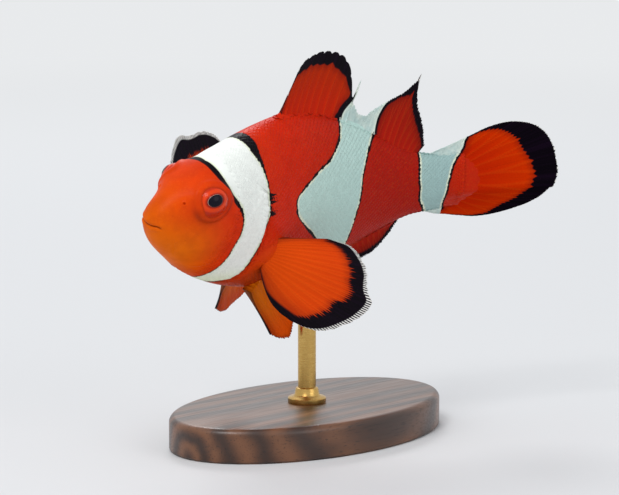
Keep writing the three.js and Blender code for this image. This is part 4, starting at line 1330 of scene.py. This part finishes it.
# ---- Studio: a pale floor, soft lamps and the camera ----
FLOOR_SIZE = 6.0
FLOOR_COLOR = (0.7, 0.71, 0.72, 1)
FLOOR_CLOUD = (0.67, 0.68, 0.7, 1)
FLOOR_FADE = (0.3, 0.85)   # distances over which the floor passes into the backdrop
BACKDROP = (0.81, 0.825, 0.84, 1)
SKY = (0.6, 0.61, 0.63, 1)
CAMERA = {"place": (-0.3589, -0.3493, 0.1071), "target": (-0.0081, -0.0085, 0.0354), "lens": 167.1}
# Azimuth and elevation in degrees, distance and size in metres, and how light it makes a surface
# that faces it. All lamps face LIT.
LAMPS = {
    "key": [-72, 48, 0.9, 0.4, 0.47],
    "fill": [5, 20, 1.1, 0.7, 0.14],
    "rim": [140, 42, 0.9, 0.35, 0.29],
}
LIT = np.array([0, 0, 0.045])


def build_floor():
    mesh = bpy.data.meshes.new("floor")
    s = FLOOR_SIZE
    mesh.from_pydata([[-s, -s, 0], [s, -s, 0], [s, s, 0], [-s, s, 0]], [], [[0, 1, 2, 3]])
    paint = Paint("floor", Specular_IOR_Level=0.0)
    place = paint.add("NewGeometry", output="Position")
    cloud = paint.noise(place, 4.0)
    color = paint.mix(paint.range(cloud, 0.3, 0.7, 0, 0.1), FLOOR_COLOR, FLOOR_CLOUD)
    fade = paint.range(paint.vector("LENGTH", place, output="Value"), *FLOOR_FADE)
    glow = paint.math("MULTIPLY", fade, paint.add("LightPath", output="Is Camera Ray"))
    color = paint.mix(glow, color, (0, 0, 0, 1))
    paint.shader.inputs["Emission Color"].default_value = BACKDROP
    paint.tree.links.new(glow, paint.shader.inputs["Emission Strength"])
    mesh.materials.append(paint.finish(color, paint.range(cloud, 0.3, 0.7, 0.75, 0.85)))
    link("floor", mesh)


def build_world():
    """A soft sky that looks like the backdrop to the camera and in reflections."""
    world = bpy.data.worlds.new("studio")
    world.use_nodes = True
    nodes = Nodes(world.node_tree)
    seen = nodes.math("MAXIMUM", nodes.add("LightPath", output="Is Camera Ray"),
                      nodes.add("LightPath", output="Is Glossy Ray"))
    background = nodes.tree.nodes["Background"]
    nodes.tree.links.new(nodes.mix(seen, SKY, BACKDROP), background.inputs["Color"])
    background.inputs["Strength"].default_value = 1
    bpy.context.scene.world = world


def from_angle(azimuth, elevation):
    a, e = math.radians(azimuth), math.radians(elevation)
    return np.array([math.sin(a) * math.cos(e), -math.cos(a) * math.cos(e), math.sin(e)])


def facing(direction):
    return Vector(direction).to_track_quat("-Z", "Y").to_euler()


def build_lamp(name, azimuth, elevation, distance, size, level):
    lamp = bpy.data.lights.new(name, "AREA")
    lamp.shape = "DISK"
    lamp.size = size
    lamp.energy = level * math.pi**2 * distance**2
    thing = link(name, lamp)
    toward = from_angle(azimuth, elevation)
    thing.location = LIT + toward * distance
    thing.rotation_euler = facing(-toward)


def build_camera():
    camera = link("camera", bpy.data.cameras.new("camera"))
    camera.data.sensor_width = 36
    camera.data.lens = CAMERA["lens"]
    camera.location = CAMERA["place"]
    camera.rotation_euler = facing(np.subtract(CAMERA["target"], CAMERA["place"]))
    bpy.context.scene.camera = camera


build_floor()
build_world()
for name, plan in LAMPS.items():
    build_lamp(name, *plan)
build_camera()
bpy.context.scene.view_settings.view_transform = "Standard"
